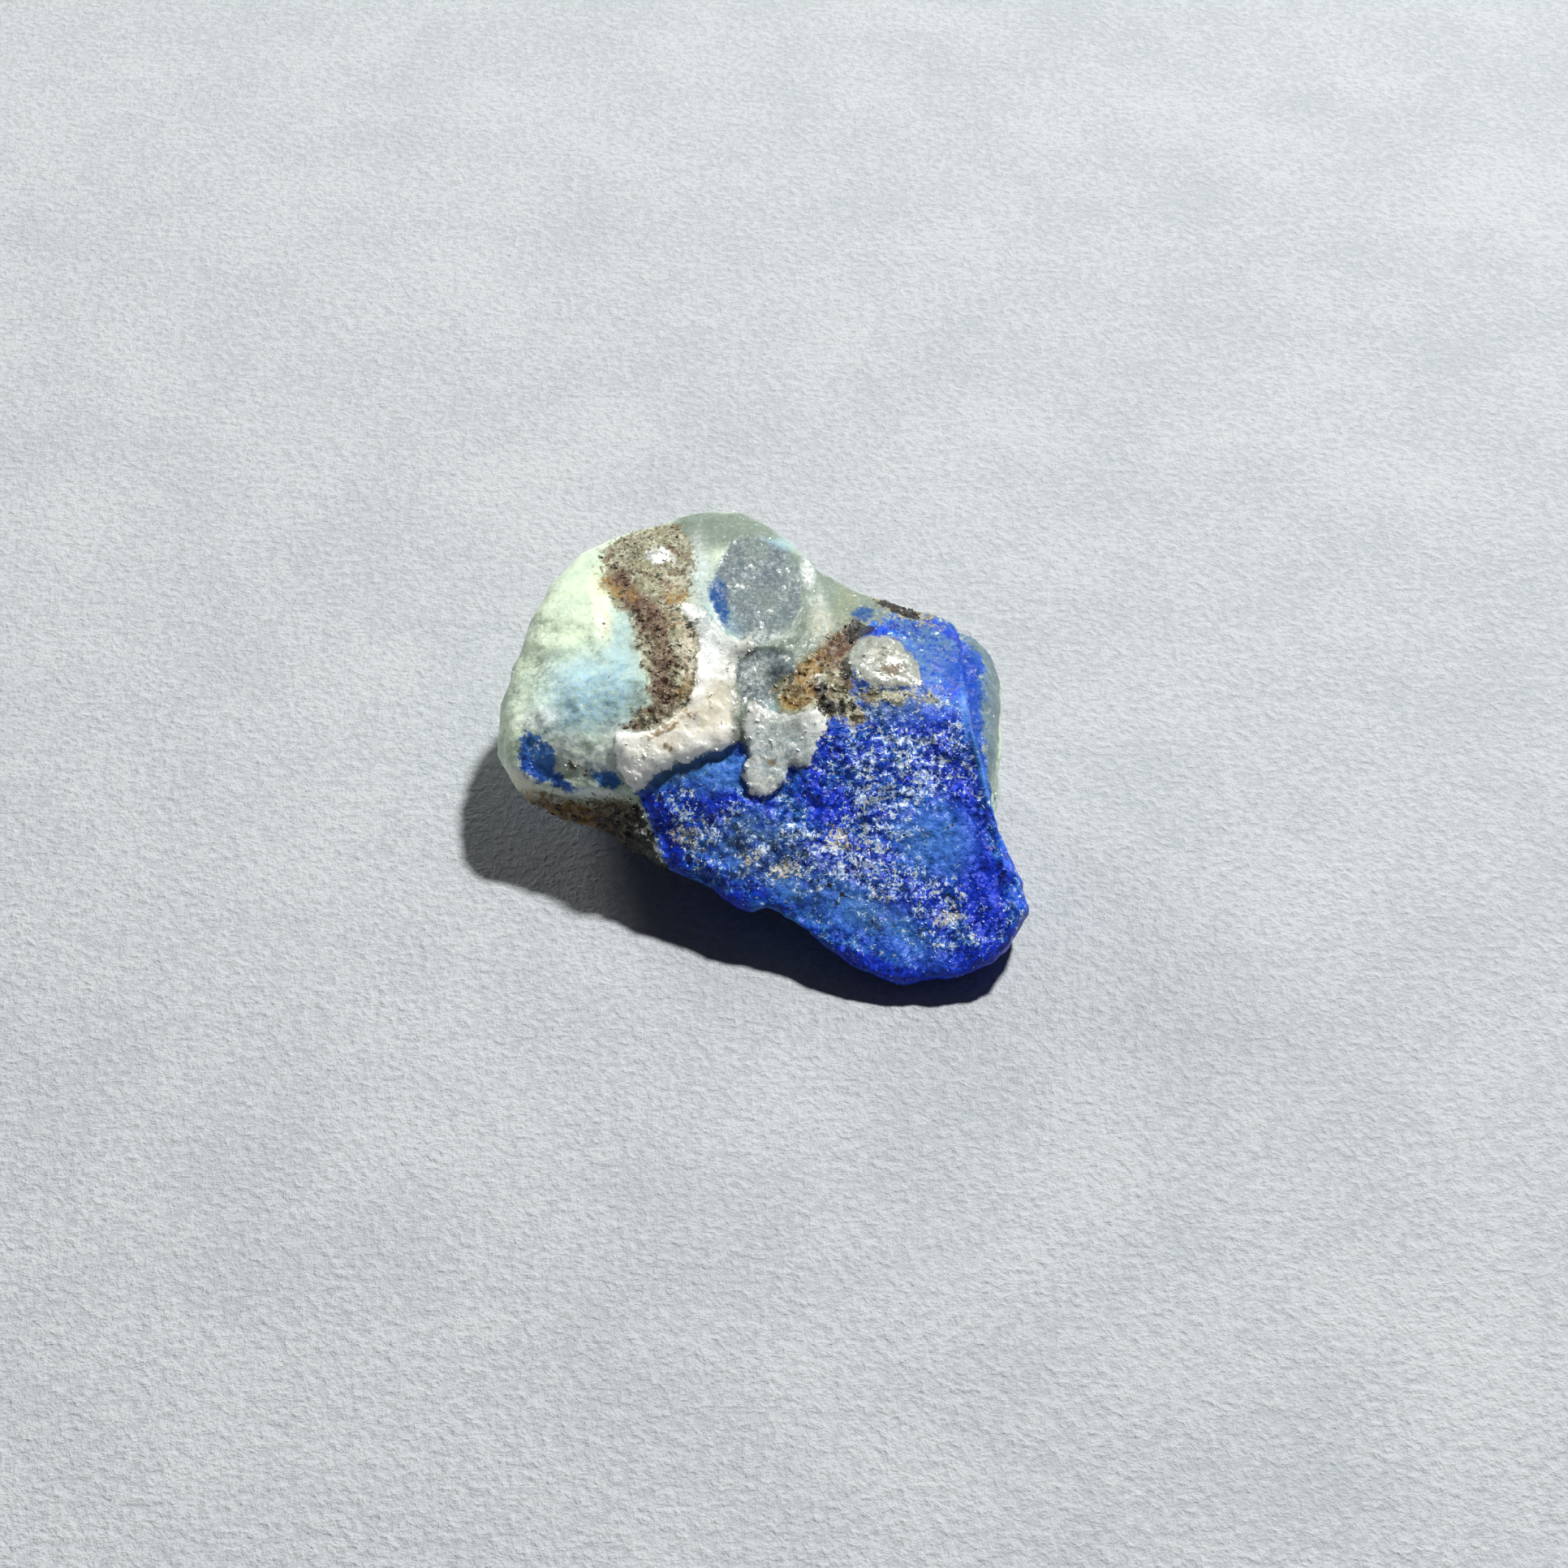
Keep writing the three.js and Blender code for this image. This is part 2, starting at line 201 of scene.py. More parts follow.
@dataclass(frozen=True)
class Spot:
    """A soft oval patch on the show plate: its middle, half lengths, strength and turn."""

    mark: Mark
    middle: tuple[float, float]
    reach: tuple[float, float]
    strength: float = 1.0
    turn: float = 0.0

    def radius(self, across: np.ndarray, up: np.ndarray) -> np.ndarray:
        """Measures places against the oval.

        Args:
            across: places across the plate.
            up: places up the plate.

        Returns:
            0 in the middle, 1 on the oval and more outside.
        """
        angle = math.radians(self.turn)
        x, y = across - self.middle[0], up - self.middle[1]
        along = x * math.cos(angle) + y * math.sin(angle)
        over = -x * math.sin(angle) + y * math.cos(angle)
        return np.hypot(along / self.reach[0], over / self.reach[1])

    def inside(self, across: np.ndarray, up: np.ndarray) -> np.ndarray:
        """Measures how far inside the oval each place is, in millimetres, negative outside."""
        return (1 - self.radius(across, up)) * min(self.reach)

    def weight(self, across: np.ndarray, up: np.ndarray) -> np.ndarray:
        """Gives a tint's strength, full in the middle and fading out past the oval.

        Args:
            across: places across the plate.
            up: places up the plate.

        Returns:
            The strengths.
        """
        full, fall = SPOT_FADE
        fade = np.clip(full - fall * self.radius(across, up), 0, 1)
        return self.strength * fade * fade * (3 - 2 * fade)


# The drawn patches. Across runs to the right and up runs away, from the middle of the show plate.
OUTLINES = (
    Outline(Mark.AFGHANITE, (
        (-5.88, -1.92), (-5.5, -2.88), (-5.12, -3.65), (-4.81, -4.42), (-4.35, -5.77),
        (-3.27, -6.92), (-1.54, -8.08), (0.58, -8.27), (2.5, -9.62), (4.81, -11.15),
        (7.12, -11.73), (11.15, -10.77), (13.27, -8.65), (13.65, -7.12), (13.08, -5.58),
        (12.19, -4.42), (11.58, -3.46), (11.27, -2.5), (11.04, -0.96), (10.81, 0.96),
        (10.85, 2.88), (10.81, 4.35), (10.08, 5.27), (9.42, 5.88), (7.88, 6.65),
        (6.73, 6.81), (6.27, 6.65), (6.04, 6.15), (5.38, 6.04), (4.81, 5.73),
        (4.65, 5.0), (4.35, 3.65), (4.23, 2.88), (3.55, 2.1), (2.9, 1.4),
        (2.4, 0.9), (1.9, 0.0), (1.1, -0.5), (0.9, -1.2), (0.4, -1.7),
        (0.0, -1.4), (-0.4, -0.8), (-0.75, 0.45), (-1.7, 0.25), (-3.2, -0.25),
        (-4.3, -0.7), (-5.2, -1.3),
    )),
    Outline(Mark.CALCITE, (
        (-6.81, 0.73), (-6.12, 0.81), (-5.46, 0.85), (-4.58, 1.15), (-3.73, 1.81),
        (-3.27, 2.31), (-3.15, 2.88), (-2.96, 3.38), (-2.96, 4.23), (-2.81, 5.0),
        (-2.85, 5.65), (-3.27, 6.15), (-3.73, 6.73), (-3.96, 7.04), (-3.46, 7.08),
        (-2.81, 6.81), (-2.42, 6.5), (-2.12, 6.08), (-1.73, 5.69), (-1.31, 5.35),
        (-0.85, 5.19), (-0.42, 5.38), (-0.15, 4.92), (-0.65, 4.58), (-1.12, 4.12),
        (-1.12, 3.38), (-1.19, 2.88), (-0.88, 2.19), (-1.12, 1.88), (-0.92, 0.54),
        (-1.35, 0.27), (-1.77, 0.04), (-2.35, -0.04), (-3.04, -0.31), (-3.46, -0.58),
        (-3.85, -0.54), (-4.42, -0.88), (-5.0, -1.12), (-5.46, -1.65), (-5.88, -1.88),
        (-6.23, -1.38), (-6.65, -0.92),
    )),
    Outline(Mark.CALCITE, (
        (-0.81, 1.62), (-0.35, 2.27), (-0.12, 2.19), (0.46, 1.92), (1.04, 1.69),
        (1.69, 1.62), (2.31, 1.92), (2.69, 2.0), (3.15, 1.69), (3.23, 1.15),
        (2.69, 0.46), (2.65, -0.12), (2.38, -0.69), (1.81, -0.73), (1.42, -0.69),
        (1.23, -1.38), (0.81, -1.96), (0.27, -2.15), (-0.31, -2.0), (-0.69, -1.38),
        (-0.69, -0.62), (-0.42, -0.35), (-0.5, 0.23), (-0.81, 0.54), (-0.62, 1.0),
    )),
    Outline(Mark.CALCITE, (
        (4.27, 4.27), (4.42, 4.73), (4.81, 5.19), (5.38, 5.38), (6.08, 5.38),
        (6.65, 5.19), (7.12, 4.69), (7.42, 4.27), (7.54, 3.65), (7.62, 3.15),
        (7.04, 3.0), (6.5, 3.12), (6.04, 2.96), (5.5, 3.08), (5.04, 3.35),
        (4.65, 3.19), (4.62, 3.58),
    )),
    Outline(Mark.RUST, (
        (-7.31, 9.62), (-6.35, 10.27), (-5.0, 10.77), (-4.04, 10.85), (-3.46, 10.27),
        (-3.27, 9.23), (-3.19, 8.08), (-3.35, 7.31), (-3.65, 6.73), (-3.0, 6.15),
        (-2.81, 5.19), (-2.58, 4.23), (-3.08, 3.27), (-3.27, 2.31), (-4.04, 1.54),
        (-5.19, 0.96), (-5.96, 0.81), (-6.35, 1.08), (-5.88, 1.73), (-5.31, 2.31),
        (-5.19, 3.27), (-5.58, 4.23), (-5.69, 5.19), (-6.08, 6.35), (-6.73, 6.92),
        (-7.31, 7.88), (-7.5, 8.65),
    )),
    Outline(Mark.RUST, (
        (0.85, 2.88), (1.04, 3.38), (1.92, 4.04), (2.69, 4.81), (3.65, 5.5),
        (4.31, 6.08), (4.88, 5.96), (4.81, 5.38), (4.42, 4.81), (4.23, 4.23),
        (4.31, 3.65), (4.5, 3.08), (4.12, 2.23), (3.54, 1.65), (3.08, 1.38),
        (2.5, 1.96), (1.73, 1.77), (1.15, 2.04), (0.85, 2.5),
    )),
    Outline(Mark.RUST, (
        (-11.6, -2.1), (-9.9, -2.35), (-8.4, -2.2), (-7.1, -2.25), (-6.9, -3.4),
        (-7.9, -4.6), (-10.4, -4.2), (-12.0, -3.2),
    )),
    Outline(Mark.RUST, (
        (-7.9, -2.3), (-6.3, -2.25), (-5.75, -2.7), (-5.3, -3.9), (-4.75, -5.1),
        (-4.0, -6.3), (-3.2, -7.2), (-4.6, -7.2), (-6.8, -5.6), (-7.9, -4.5),
    )),
    Outline(Mark.GLASS, (
        (-2.27, 7.81), (-2.04, 8.65), (-1.65, 9.42), (-1.15, 10.04), (-0.38, 10.23),
        (0.58, 10.04), (1.42, 9.58), (1.88, 8.85), (2.04, 7.88), (1.96, 6.92),
        (1.65, 6.15), (1.04, 5.5), (0.35, 5.12), (-0.38, 4.96), (-1.04, 5.31),
        (-1.62, 5.88), (-2.04, 6.65),
    )),
    Outline(Mark.GLASS, (
        (-1.04, 4.35), (-0.19, 4.81), (0.77, 4.81), (1.54, 4.62), (1.73, 4.04),
        (0.96, 3.27), (0.77, 2.5), (0.96, 1.73), (0.38, 1.54), (-0.38, 1.92),
        (-0.96, 2.69), (-1.15, 3.65),
    )),
)


def spots(mark: Mark, *rows: tuple[float, ...]) -> tuple[Spot, ...]:
    """Makes the spots of one mark.

    Args:
        mark: the mineral or tint.
        rows: for each, across, up and both half lengths, then strength and turn if not 1 and 0.

    Returns:
        The spots.
    """
    return tuple(Spot(mark, row[:2], row[2:4], *row[4:]) for row in rows)


SPOTS = (
    # blue spots away from the blue face
    *spots(Mark.AFGHANITE,
        (-10.5, -0.3, 0.8, 1.15, 1, 25), (-7.2, -1.35, 0.75, 0.38, 1, -28),
        (-9.3, -1.5, 0.7, 0.3, 1, -28),
    ),
    # periwinkle haze, with painted light among it as marked below
    *spots(Mark.HAZE_AND_PAINTED_LIGHT,
        (-7.3, -1.3, 1.0, 0.5, 1, -28), (-1.9, -1.1, 1.7, 0.8, 0.8, 20),
        # the first patch on the next line, under the calcite plate's front edge, is painted light that
        # lifts the shade of the hollow there
        (-3.7, -1.0, 2.1, 0.45, 1, 24), (8.0, 4.2, 1.3, 1.2, 0.4), (8.3, -4.3, 1.8, 1.7, 0.8),
        (1.2, -6.5, 1.0, 0.6, 0.7, -30), (6.0, -8.3, 3.0, 1.0, 0.6, -32), (7.2, 2.2, 2.6, 1.0, 0.35),
        (-0.2, -3.6, 1.2, 0.9, 0.4, -20), (3.3, -7.2, 1.8, 1.2, 0.45, -25),
        # the two thin lines on the next line are painted highlights along the ridge at the right of
        # the blue face
        (9.75, 1.6, 0.14, 1.6, 0.8, 5), (10.45, -0.6, 0.15, 1.8, 1, 14),
        # the two thin lines on the next line are painted highlights along the blue face's lower edge
        (-2.2, -7.6, 1.6, 0.22, 1, -32), (0.8, -7.9, 1.2, 0.35, 1, -25),
        (-1.4, -5.0, 1.4, 0.9, 0.6, -40), (-10.3, -0.1, 0.8, 1.1, 1, 25),
    ),
    # sky-blue tints
    *spots(Mark.SKY,
        (-7.9, -1.1, 0.8, 0.5, 0.6), (-7.9, 2.7, 2.4, 1.8), (-6.2, 5.4, 1.0, 1.6, 0.6),
        (1.0, 0.0, 1.7, 1.8), (-2.2, 5.4, 1.1, 1.3, 0.55), (1.0, 10.1, 1.1, 0.4, 0.9, -25),
        (-2.7, 7.7, 0.6, 1.6, 0.6), (-9.7, 1.0, 1.2, 0.9, 0.4),
    ),
    # thin rust along the top edge and below the calcite disc
    *spots(Mark.RUST,
        (6.8, 6.9, 1.5, 0.6, 1, -23), (5.8, 2.6, 1.9, 0.3, 1, -2), (4.2, 1.9, 0.9, 0.5, 1, -30),
    ),
    # frosted white, and white crystals in the grit, with painted light marked below
    *spots(Mark.FROST_AND_PAINTED_LIGHT,
        (2.75, 3.4, 0.4, 0.35, 0.5), (-4.75, 9.25, 0.85, 0.5, 0.6, -12),
        (-10.4, 1.5, 1.0, 0.5, 0.8, 15), (-9.5, 0.4, 1.2, 0.5, 0.7, 10), (-8.0, -2.0, 1.8, 0.35, 0.9),
        (-10.7, -1.65, 1.4, 0.35, 0.9, -33), (-5.3, -4.4, 1.2, 0.4, 0.7, -55),
        # (-9.0, -0.6) and (-7.0, -0.3) are partly the skin's own pale tone and partly painted light on
        # the shoulder's front slope, which faces away from the key lamp
        (2.3, 8.5, 0.3, 0.7, 0.75, 8), (-9.0, -0.6, 1.8, 0.7, 0.6, 5), (-7.0, -0.3, 1.3, 0.8, 0.7),
        (-6.6, 0.9, 1.0, 0.5, 0.5), (-10.45, -0.25, 0.35, 0.35, 0.6), (2.9, 6.3, 0.5, 1.4, 0.4, 10),
        (-0.2, 5.3, 1.6, 0.25, 0.5, 8), (-0.3, 3.6, 0.7, 0.9, 0.6), (-2.9, 8.4, 0.6, 1.8, 0.45),
        (-1.9, 6.6, 0.25, 0.8, 0.6, 12),
    ),
    # blue shining through the clearer minerals, and one spot of painted shade marked below
    *spots(Mark.DYE_AND_PAINTED_SHADE,
        (-1.95, 7.3, 0.4, 0.9, 1, 8), (-1.65, 6.3, 0.28, 0.6, 0.6, 14), (4.9, 6.45, 0.55, 0.4),
        (4.5, 5.5, 0.35, 0.5, 0.5), (1.6, 3.7, 0.35, 0.22, 0.7, 30), (5.1, 2.6, 1.3, 0.7, 0.6),
        # (10.35, 1.9) is painted shade: it darkens the strip right of the ridge as a side turned from
        # the light
        (8.6, 6.3, 1.5, 0.45, 0.7, -32), (10.35, 1.9, 0.5, 3.0), (9.5, 3.8, 0.9, 1.2, 0.8),
    ),
    # slate blue, with one band of painted light marked below
    *spots(Mark.SLATE,
        (-7.9, -0.9, 0.9, 0.4, 0.5, -20), (0.2, -4.6, 2.4, 1.3, 1, -30), (5.6, 2.2, 2.0, 0.9),
        (7.6, 5.7, 2.0, 0.5, 0.9, -25), (3.4, -5.6, 2.0, 1.2, 0.5), (5.6, -7.6, 1.4, 0.9, 0.5),
        # the second spot on the next line, under the calcite plate's front edge, is painted light that
        # lifts the shade of the hollow there
        (-4.6, -0.5, 0.8, 0.5, 0.5), (-3.3, -0.75, 2.4, 0.35, 0.9, 24), (7.9, 4.3, 1.2, 1.2, 0.8),
        (11.1, 1.8, 0.4, 3.6, 0.7), (10.6, 5.2, 1.0, 0.7, 0.5, -30),
    ),
    # dense pale needles
    *spots(Mark.NEEDLES,
        (6.6, -1.2, 3.6, 3.2, 0.85), (8.6, 0.6, 2.0, 2.0, 0.7), (0.6, -4.6, 4.2, 1.6, 0.75, -28),
        (8.4, -7.6, 3.4, 2.2, 0.85, -20), (4.6, -5.0, 2.6, 2.4, 0.7), (-3.0, -3.2, 1.8, 1.8, 0.9),
        (-1.6, -5.0, 1.6, 1.0, 0.6, -40), (5.2, 2.2, 1.4, 0.7, 0.5), (-10.35, 0.0, 0.45, 0.6, 1, 25),
    ),
    # tan clusters
    *spots(Mark.TAN,
        (-3.65, -4.0, 0.75, 0.6), (-0.4, -5.0, 0.6, 0.55, 0.9), (0.7, -5.9, 0.6, 0.5, 0.8),
        (-2.8, -4.9, 0.5, 0.4, 0.5), (1.5, -5.5, 0.6, 0.5, 0.9), (3.7, -4.2, 0.7, 0.7),
        (4.9, -4.6, 0.6, 0.5, 0.7), (5.1, -5.8, 0.5, 0.6, 0.6), (5.8, -6.8, 0.7, 0.5, 0.7),
        (5.7, -8.1, 0.5, 0.4, 0.7), (8.9, -7.9, 1.0, 0.5, 0.9, 10), (10.0, -8.8, 0.8, 0.4, 0.7),
        (7.4, 2.7, 0.7, 0.4, 0.8), (5.4, 2.5, 1.0, 0.4, 0.5), (3.0, 0.9, 0.6, 0.8, 0.7),
        (3.9, 1.9, 0.9, 0.6, 0.7),
    ),
    # cream and yellow tints
    *spots(Mark.CREAM,
        (-3.4, 1.6, 1.1, 0.9, 0.9, 30), (-4.3, 0.2, 0.8, 0.5, 0.8), (-1.8, 2.4, 0.7, 1.0),
        (-2.0, 1.2, 0.8, 0.8, 0.5), (-3.2, 4.7, 0.5, 1.3, 0.9), (-3.9, 7.9, 0.5, 0.4, 0.6),
        (-5.6, 0.2, 0.8, 0.6, 0.4), (0.45, -1.3, 0.35, 0.3), (-7.5, 6.7, 0.35, 1.3, 0.9, 12),
        (-11.3, -1.6, 1.3, 0.5, 0.8, -25), (7.2, 3.0, 0.9, 0.4, 0.8), (6.0, 4.6, 0.8, 0.5, 0.8),
    ),
    # where the rock sparkles
    *spots(Mark.GLINT,
        (5.9, 6.3, 0.6, 0.4, 2), (4.85, 6.9, 0.7, 0.3, 2), (9.7, 4.9, 0.5, 0.4, 1.5),
        (-5.8, 8.8, 0.7, 0.6, 1.2), (-3.1, 5.8, 0.4, 0.4, 1.2), (-8.8, -0.9, 0.5, 0.3, 1.2),
        (2.4, 8.4, 0.5, 1.0, 0.8, 10),
    ),
    # green-grey, deeper towards the outer rim
    *spots(Mark.MOSS,
        (-1.2, 10.6, 2.4, 0.9, 0.95, 6), (-3.2, 10.8, 1.2, 0.6, 0.9, 20),
        (-12.0, 1.5, 0.7, 3.5, 0.35), (-10.8, 6.0, 0.7, 2.4, 0.5, -18), (11.2, 1.8, 0.5, 4.2),
        (4.4, 7.3, 2.6, 0.8, 1, -24), (2.6, 6.2, 2.6, 2.6), (0.4, 7.5, 2.6, 3.2, 0.8),
        (1.0, 3.0, 2.4, 1.6, 0.9), (5.9, 4.0, 1.9, 1.4), (1.6, 0.4, 1.4, 1.8, 0.3),
        (-4.75, 9.2, 0.9, 0.6, 0.5), (6.0, 4.3, 1.8, 1.4, 0.9), (10.6, 5.2, 1.1, 0.8, 1, -30),
        (-2.9, 8.6, 0.9, 2.0, 0.5), (-0.95, 1.3, 0.35, 1.6), (-5.8, 2.4, 0.5, 1.2, 0.6),
    ),
    # dark mottling
    *spots(Mark.SOOT,
        (6.7, 6.9, 1.3, 0.5, 1, -23), (3.0, 2.9, 0.4, 0.4, 0.9), (4.5, 5.7, 0.5, 0.6),
        (4.1, 3.9, 0.45, 0.6, 0.8), (3.0, 2.0, 0.6, 0.4, 0.8, 30), (5.3, 5.7, 0.5, 0.3, 0.6),
        (4.1, 2.1, 0.7, 0.5, 0.8), (-6.1, -3.7, 1.6, 1.4, 0.7, -40), (-5.0, -5.6, 1.6, 0.8, 0.6, -45),
        (-8.9, -3.1, 1.6, 0.35, 0.4, -12), (9.1, -3.6, 0.25, 0.2, 0.9), (3.2, -6.9, 1.6, 1.2, 0.35),
        (-7.25, 5.9, 0.3, 0.3, 0.35),
    ),
    # deep saturated blue
    *spots(Mark.DEEP,
        (-4.5, -3.85, 1.7, 0.5, 1, -67), (-2.1, -2.5, 1.0, 0.6, 0.9), (10.2, -4.8, 3.5, 0.65, 1, -76),
        (10.6, -7.1, 0.9, 1.4), (9.4, -10.2, 2.8, 0.6, 1, 14), (3.65, -2.7, 0.9, 0.7, 0.9),
        (6.3, -7.5, 0.6, 0.45), (7.9, 1.35, 1.8, 0.6, 0.8), (10.5, 2.1, 0.7, 3.0),
        (9.8, 3.7, 1.1, 1.0), (8.9, 5.9, 1.2, 0.4, 1, -35), (-1.2, -7.2, 1.0, 0.35, 1, -25),
        (5.4, -10.2, 2.2, 0.35, 0.8, -22), (-10.9, -0.8, 0.4, 1.0, 0.5, 25),
        (-2.1, 7.6, 0.5, 0.9, 1, 12), (6.2, -9.1, 0.7, 0.4, 0.8), (8.2, -3.3, 0.8, 0.4, 0.7, 10),
    ),
    # dark red-brown stains
    *spots(Mark.UMBER,
        (-5.6, 6.9, 0.9, 0.6, 1, -30), (-5.1, 6.0, 0.8, 0.6, 1, -20), (-4.6, 4.3, 0.6, 1.0, 0.9),
        (-4.7, 2.9, 0.55, 0.5), (-4.4, 2.1, 0.9, 0.5, 0.9, 20), (-6.5, 8.1, 0.5, 0.5),
        (-6.0, 1.2, 0.6, 0.3, 0.8), (3.7, 4.9, 1.2, 0.6, 1, 45), (6.8, 6.9, 1.3, 0.5, 0.5, -23),
        (2.9, 2.8, 0.45, 0.35), (4.3, 3.3, 0.4, 0.6, 0.7), (-9.2, -2.9, 1.8, 0.45, 0.7, -12),
        (6.3, 3.85, 0.7, 0.4, 1, 20), (-7.25, 6.0, 0.3, 0.5, 0.9, 20),
        (-8.6, -0.8, 0.8, 0.35, 0.9, -20), (-6.3, -3.6, 1.8, 1.2, 0.8, -40),
    ),
    # golden margins of the rust
    *spots(Mark.GOLD,
        (-7.3, 6.6, 0.2, 0.8, 0.4, 12), (-7.1, 7.8, 0.7, 0.5), (-6.2, 7.4, 0.6, 0.4, 1, -20),
        (-3.8, 7.3, 0.8, 0.5, 0.9), (-4.2, 6.3, 0.6, 0.4, 0.6), (-3.5, 4.9, 0.35, 1.0, 0.4),
        (-3.3, 3.2, 0.35, 0.7), (-3.3, 1.7, 0.4, 0.3, 0.8), (-4.3, 0.1, 0.3, 0.3, 0.8),
        (-4.6, 1.0, 0.9, 0.25, 0.5, 25), (0.5, -0.5, 0.35, 0.16, 1, -35), (4.2, 6.9, 0.6, 1.2, 0.35),
        (-3.7, 2.5, 0.35, 0.6, 0.9), (2.3, 3.7, 1.3, 0.6, 1, 45), (3.0, 6.0, 0.6, 1.0, 0.45, 10),
        (-4.6, 0.9, 1.0, 0.35, 0.5, 20), (-8.4, -1.1, 0.9, 0.4, 0.5, -10),
        (1.6, 2.4, 0.8, 0.5, 1, 20), (2.6, 2.6, 0.8, 0.4, 0.8, 10),
        (-10.0, -2.35, 1.4, 0.35, 1.3, -12), (-9.1, -3.0, 2.2, 0.6, 0.8, -12),
        (-8.2, -3.6, 1.3, 0.24, 1.3, -12), (-5.9, 5.0, 0.3, 0.8, 0.5),
    ),
)


@dataclass(frozen=True)
class Crease:
    """A line on the show plate that the stone's surface rises to, or sinks to, from both sides.

    `lift` is its height and `width` how far it reaches. `drop` lowers what is to its right, in full
    after `drop_width` and less again over `drop_reach`. With `on` it only shows on that mineral.
    """

    points: Points
    lift: float
    width: float
    drop: float = 0.0
    on: Mark | None = None
    drop_width: float = 0.25
    drop_reach: float = 1.2

    def height(self, across: np.ndarray, up: np.ndarray) -> np.ndarray:
        """Works out the line's relief.

        Args:
            across: places across the plate.
            up: places up the plate.

        Returns:
            Heights in millimetres.
        """
        points = np.array(self.points)
        side, x, y, gaps = against_lines(across, up, points[:-1], points[1:])
        nearest = gaps.argmin(1)
        rows = np.arange(len(across))
        gap = gaps[rows, nearest]
        turned = side[nearest, 0] * y[rows, nearest] - side[nearest, 1] * x[rows, nearest]
        beyond = np.where(turned > 0, gap, 0.0)
        step, fade = self.drop_width, self.drop_reach
        fall = self.drop * np.clip(beyond / step, 0, 1) * np.exp(-np.maximum(beyond - step, 0) / fade)
        return self.lift * np.exp(-(gap / self.width) ** 2) - fall


CREASES = (
    # the ridge at the right of the blue face, with the strip beyond it lower
    Crease(((9.4, 5.4), (9.5, 4.6), (9.96, 2.27), (10.1, 1.0), (10.5, -0.54), (11.0, -2.9),
            (11.4, -4.4)), 0.12, 0.3, 0.4),
    # the little cliff along the top of the blue face, right of the calcite disc
    Crease(((7.9, 3.2), (8.9, 3.4), (9.7, 3.5)), 0.05, 0.3),
    # the cream streak on the shoulder
    Crease(((-7.2, 7.9), (-7.5, 6.6), (-7.9, 5.4)), 0.14, 0.3),
    # the shoulder's edges, to the left and to the front
    Crease(((-10.0, 7.9), (-11.1, 5.3), (-11.75, 2.2), (-11.7, -0.5)), 0.13, 0.5),
    Crease(((-11.2, -1.0), (-9.6, -1.75), (-7.8, -1.75), (-6.3, -1.9)), 0.14, 0.4),
    # the edge between the crown and the top right slope
    Crease(((2.4, 6.8), (3.6, 6.4), (5.0, 6.2), (6.6, 6.0)), 0.08, 0.35),
    # lumps at the right-hand tip
    Crease(((11.9, -5.6), (12.3, -6.2)), 0.22, 0.35),
    Crease(((12.2, -7.3), (12.5, -7.6)), 0.22, 0.35),
    Crease(((11.2, -6.6), (11.6, -6.9)), -0.15, 0.3),
    # the calcite plate's thick front edge
    Crease(((-6.4, 0.2), (-5.9, -1.1), (-5.0, -0.65), (-3.9, -0.1), (-2.9, 0.15), (-1.7, 0.5)),
           0.1, 0.7, on=Mark.CALCITE),
    # hollow line between the shoulder and the strip of wall below it
    Crease(((-10.2, -2.0), (-8.8, -2.1), (-7.0, -2.1)), -0.08, 0.2),
)


@dataclass(frozen=True)
class MineralMap:
    """Says which mineral or tint each point of the stone shows.

    Behind the shown side the same veins run on through the stone, bent more the deeper they lie.
    """

    outlines: tuple[Outline, ...] = OUTLINES
    spots: tuple[Spot, ...] = SPOTS
    bend_length: float = 5.0
    bend: float = 3.2
    bend_depth: float = 2.2
    far: float = 4.0

    def bent(self, points: np.ndarray, hidden: np.ndarray) -> tuple[np.ndarray, np.ndarray]:
        """Places points on the plate, shifted by slow noise where they are hidden.

        Args:
            points: n by 3 places in millimetres.
            hidden: how much stone lies in front of each point.

        Returns:
            The across and up of each point.
        """
        across, up = SHOW.places(points)
        amount = self.bend * (1 - np.exp(-hidden / self.bend_depth))
        drift = np.array([noise.noise_vector(Vector(p / self.bend_length)) for p in points])
        return across + amount * drift[:, 0], up + amount * drift[:, 1]

    def fields(self, points: np.ndarray, hidden: np.ndarray) -> dict[Mark, np.ndarray]:
        """Measures every mineral at every point.

        Args:
            points: n by 3 places in millimetres.
            hidden: how much stone lies in front of each point.

        Returns:
            Signed distances for the zones and strengths for the tints.
        """
        across, up = self.bent(points, hidden)
        found: dict[Mark, np.ndarray] = {}
        for mark in Mark:
            shapes = [s for s in (*self.outlines, *self.spots) if s.mark is mark]
            if mark in ZONES:
                depths = [shape.inside(across, up) for shape in shapes]
                found[mark] = np.clip(np.max(depths, axis=0), -self.far, self.far)
            else:
                found[mark] = np.clip(sum(s.weight(across, up) for s in shapes), 0, 1)
        return found


def within(depth: np.ndarray, soft: float = 0.25) -> np.ndarray:
    """Turns a signed distance into a 0 to 1 share.

    Args:
        depth: signed distances, positive inside.
        soft: half the width of the change.

    Returns:
        The shares.
    """
    share = np.clip(depth / (2 * soft) + 0.5, 0, 1)
    return share * share * (3 - 2 * share)


def put(name: str, data: bpy.types.ID) -> bpy.types.Object:
    """Makes an object of a mesh, lamp or camera and puts it in the scene.

    Args:
        name: the object's name.
        data: what it is made of.

    Returns:
        The object.
    """
    made = bpy.data.objects.new(name, data)
    bpy.context.scene.collection.objects.link(made)
    return made


def write_layer(mesh: bpy.types.Mesh, name: str, values: np.ndarray) -> None:
    """Gives a mesh a float attribute with one value for each corner."""
    layer = mesh.attributes.new(name, "FLOAT", "POINT")
    layer.data.foreach_set("value", values.astype(np.float32))


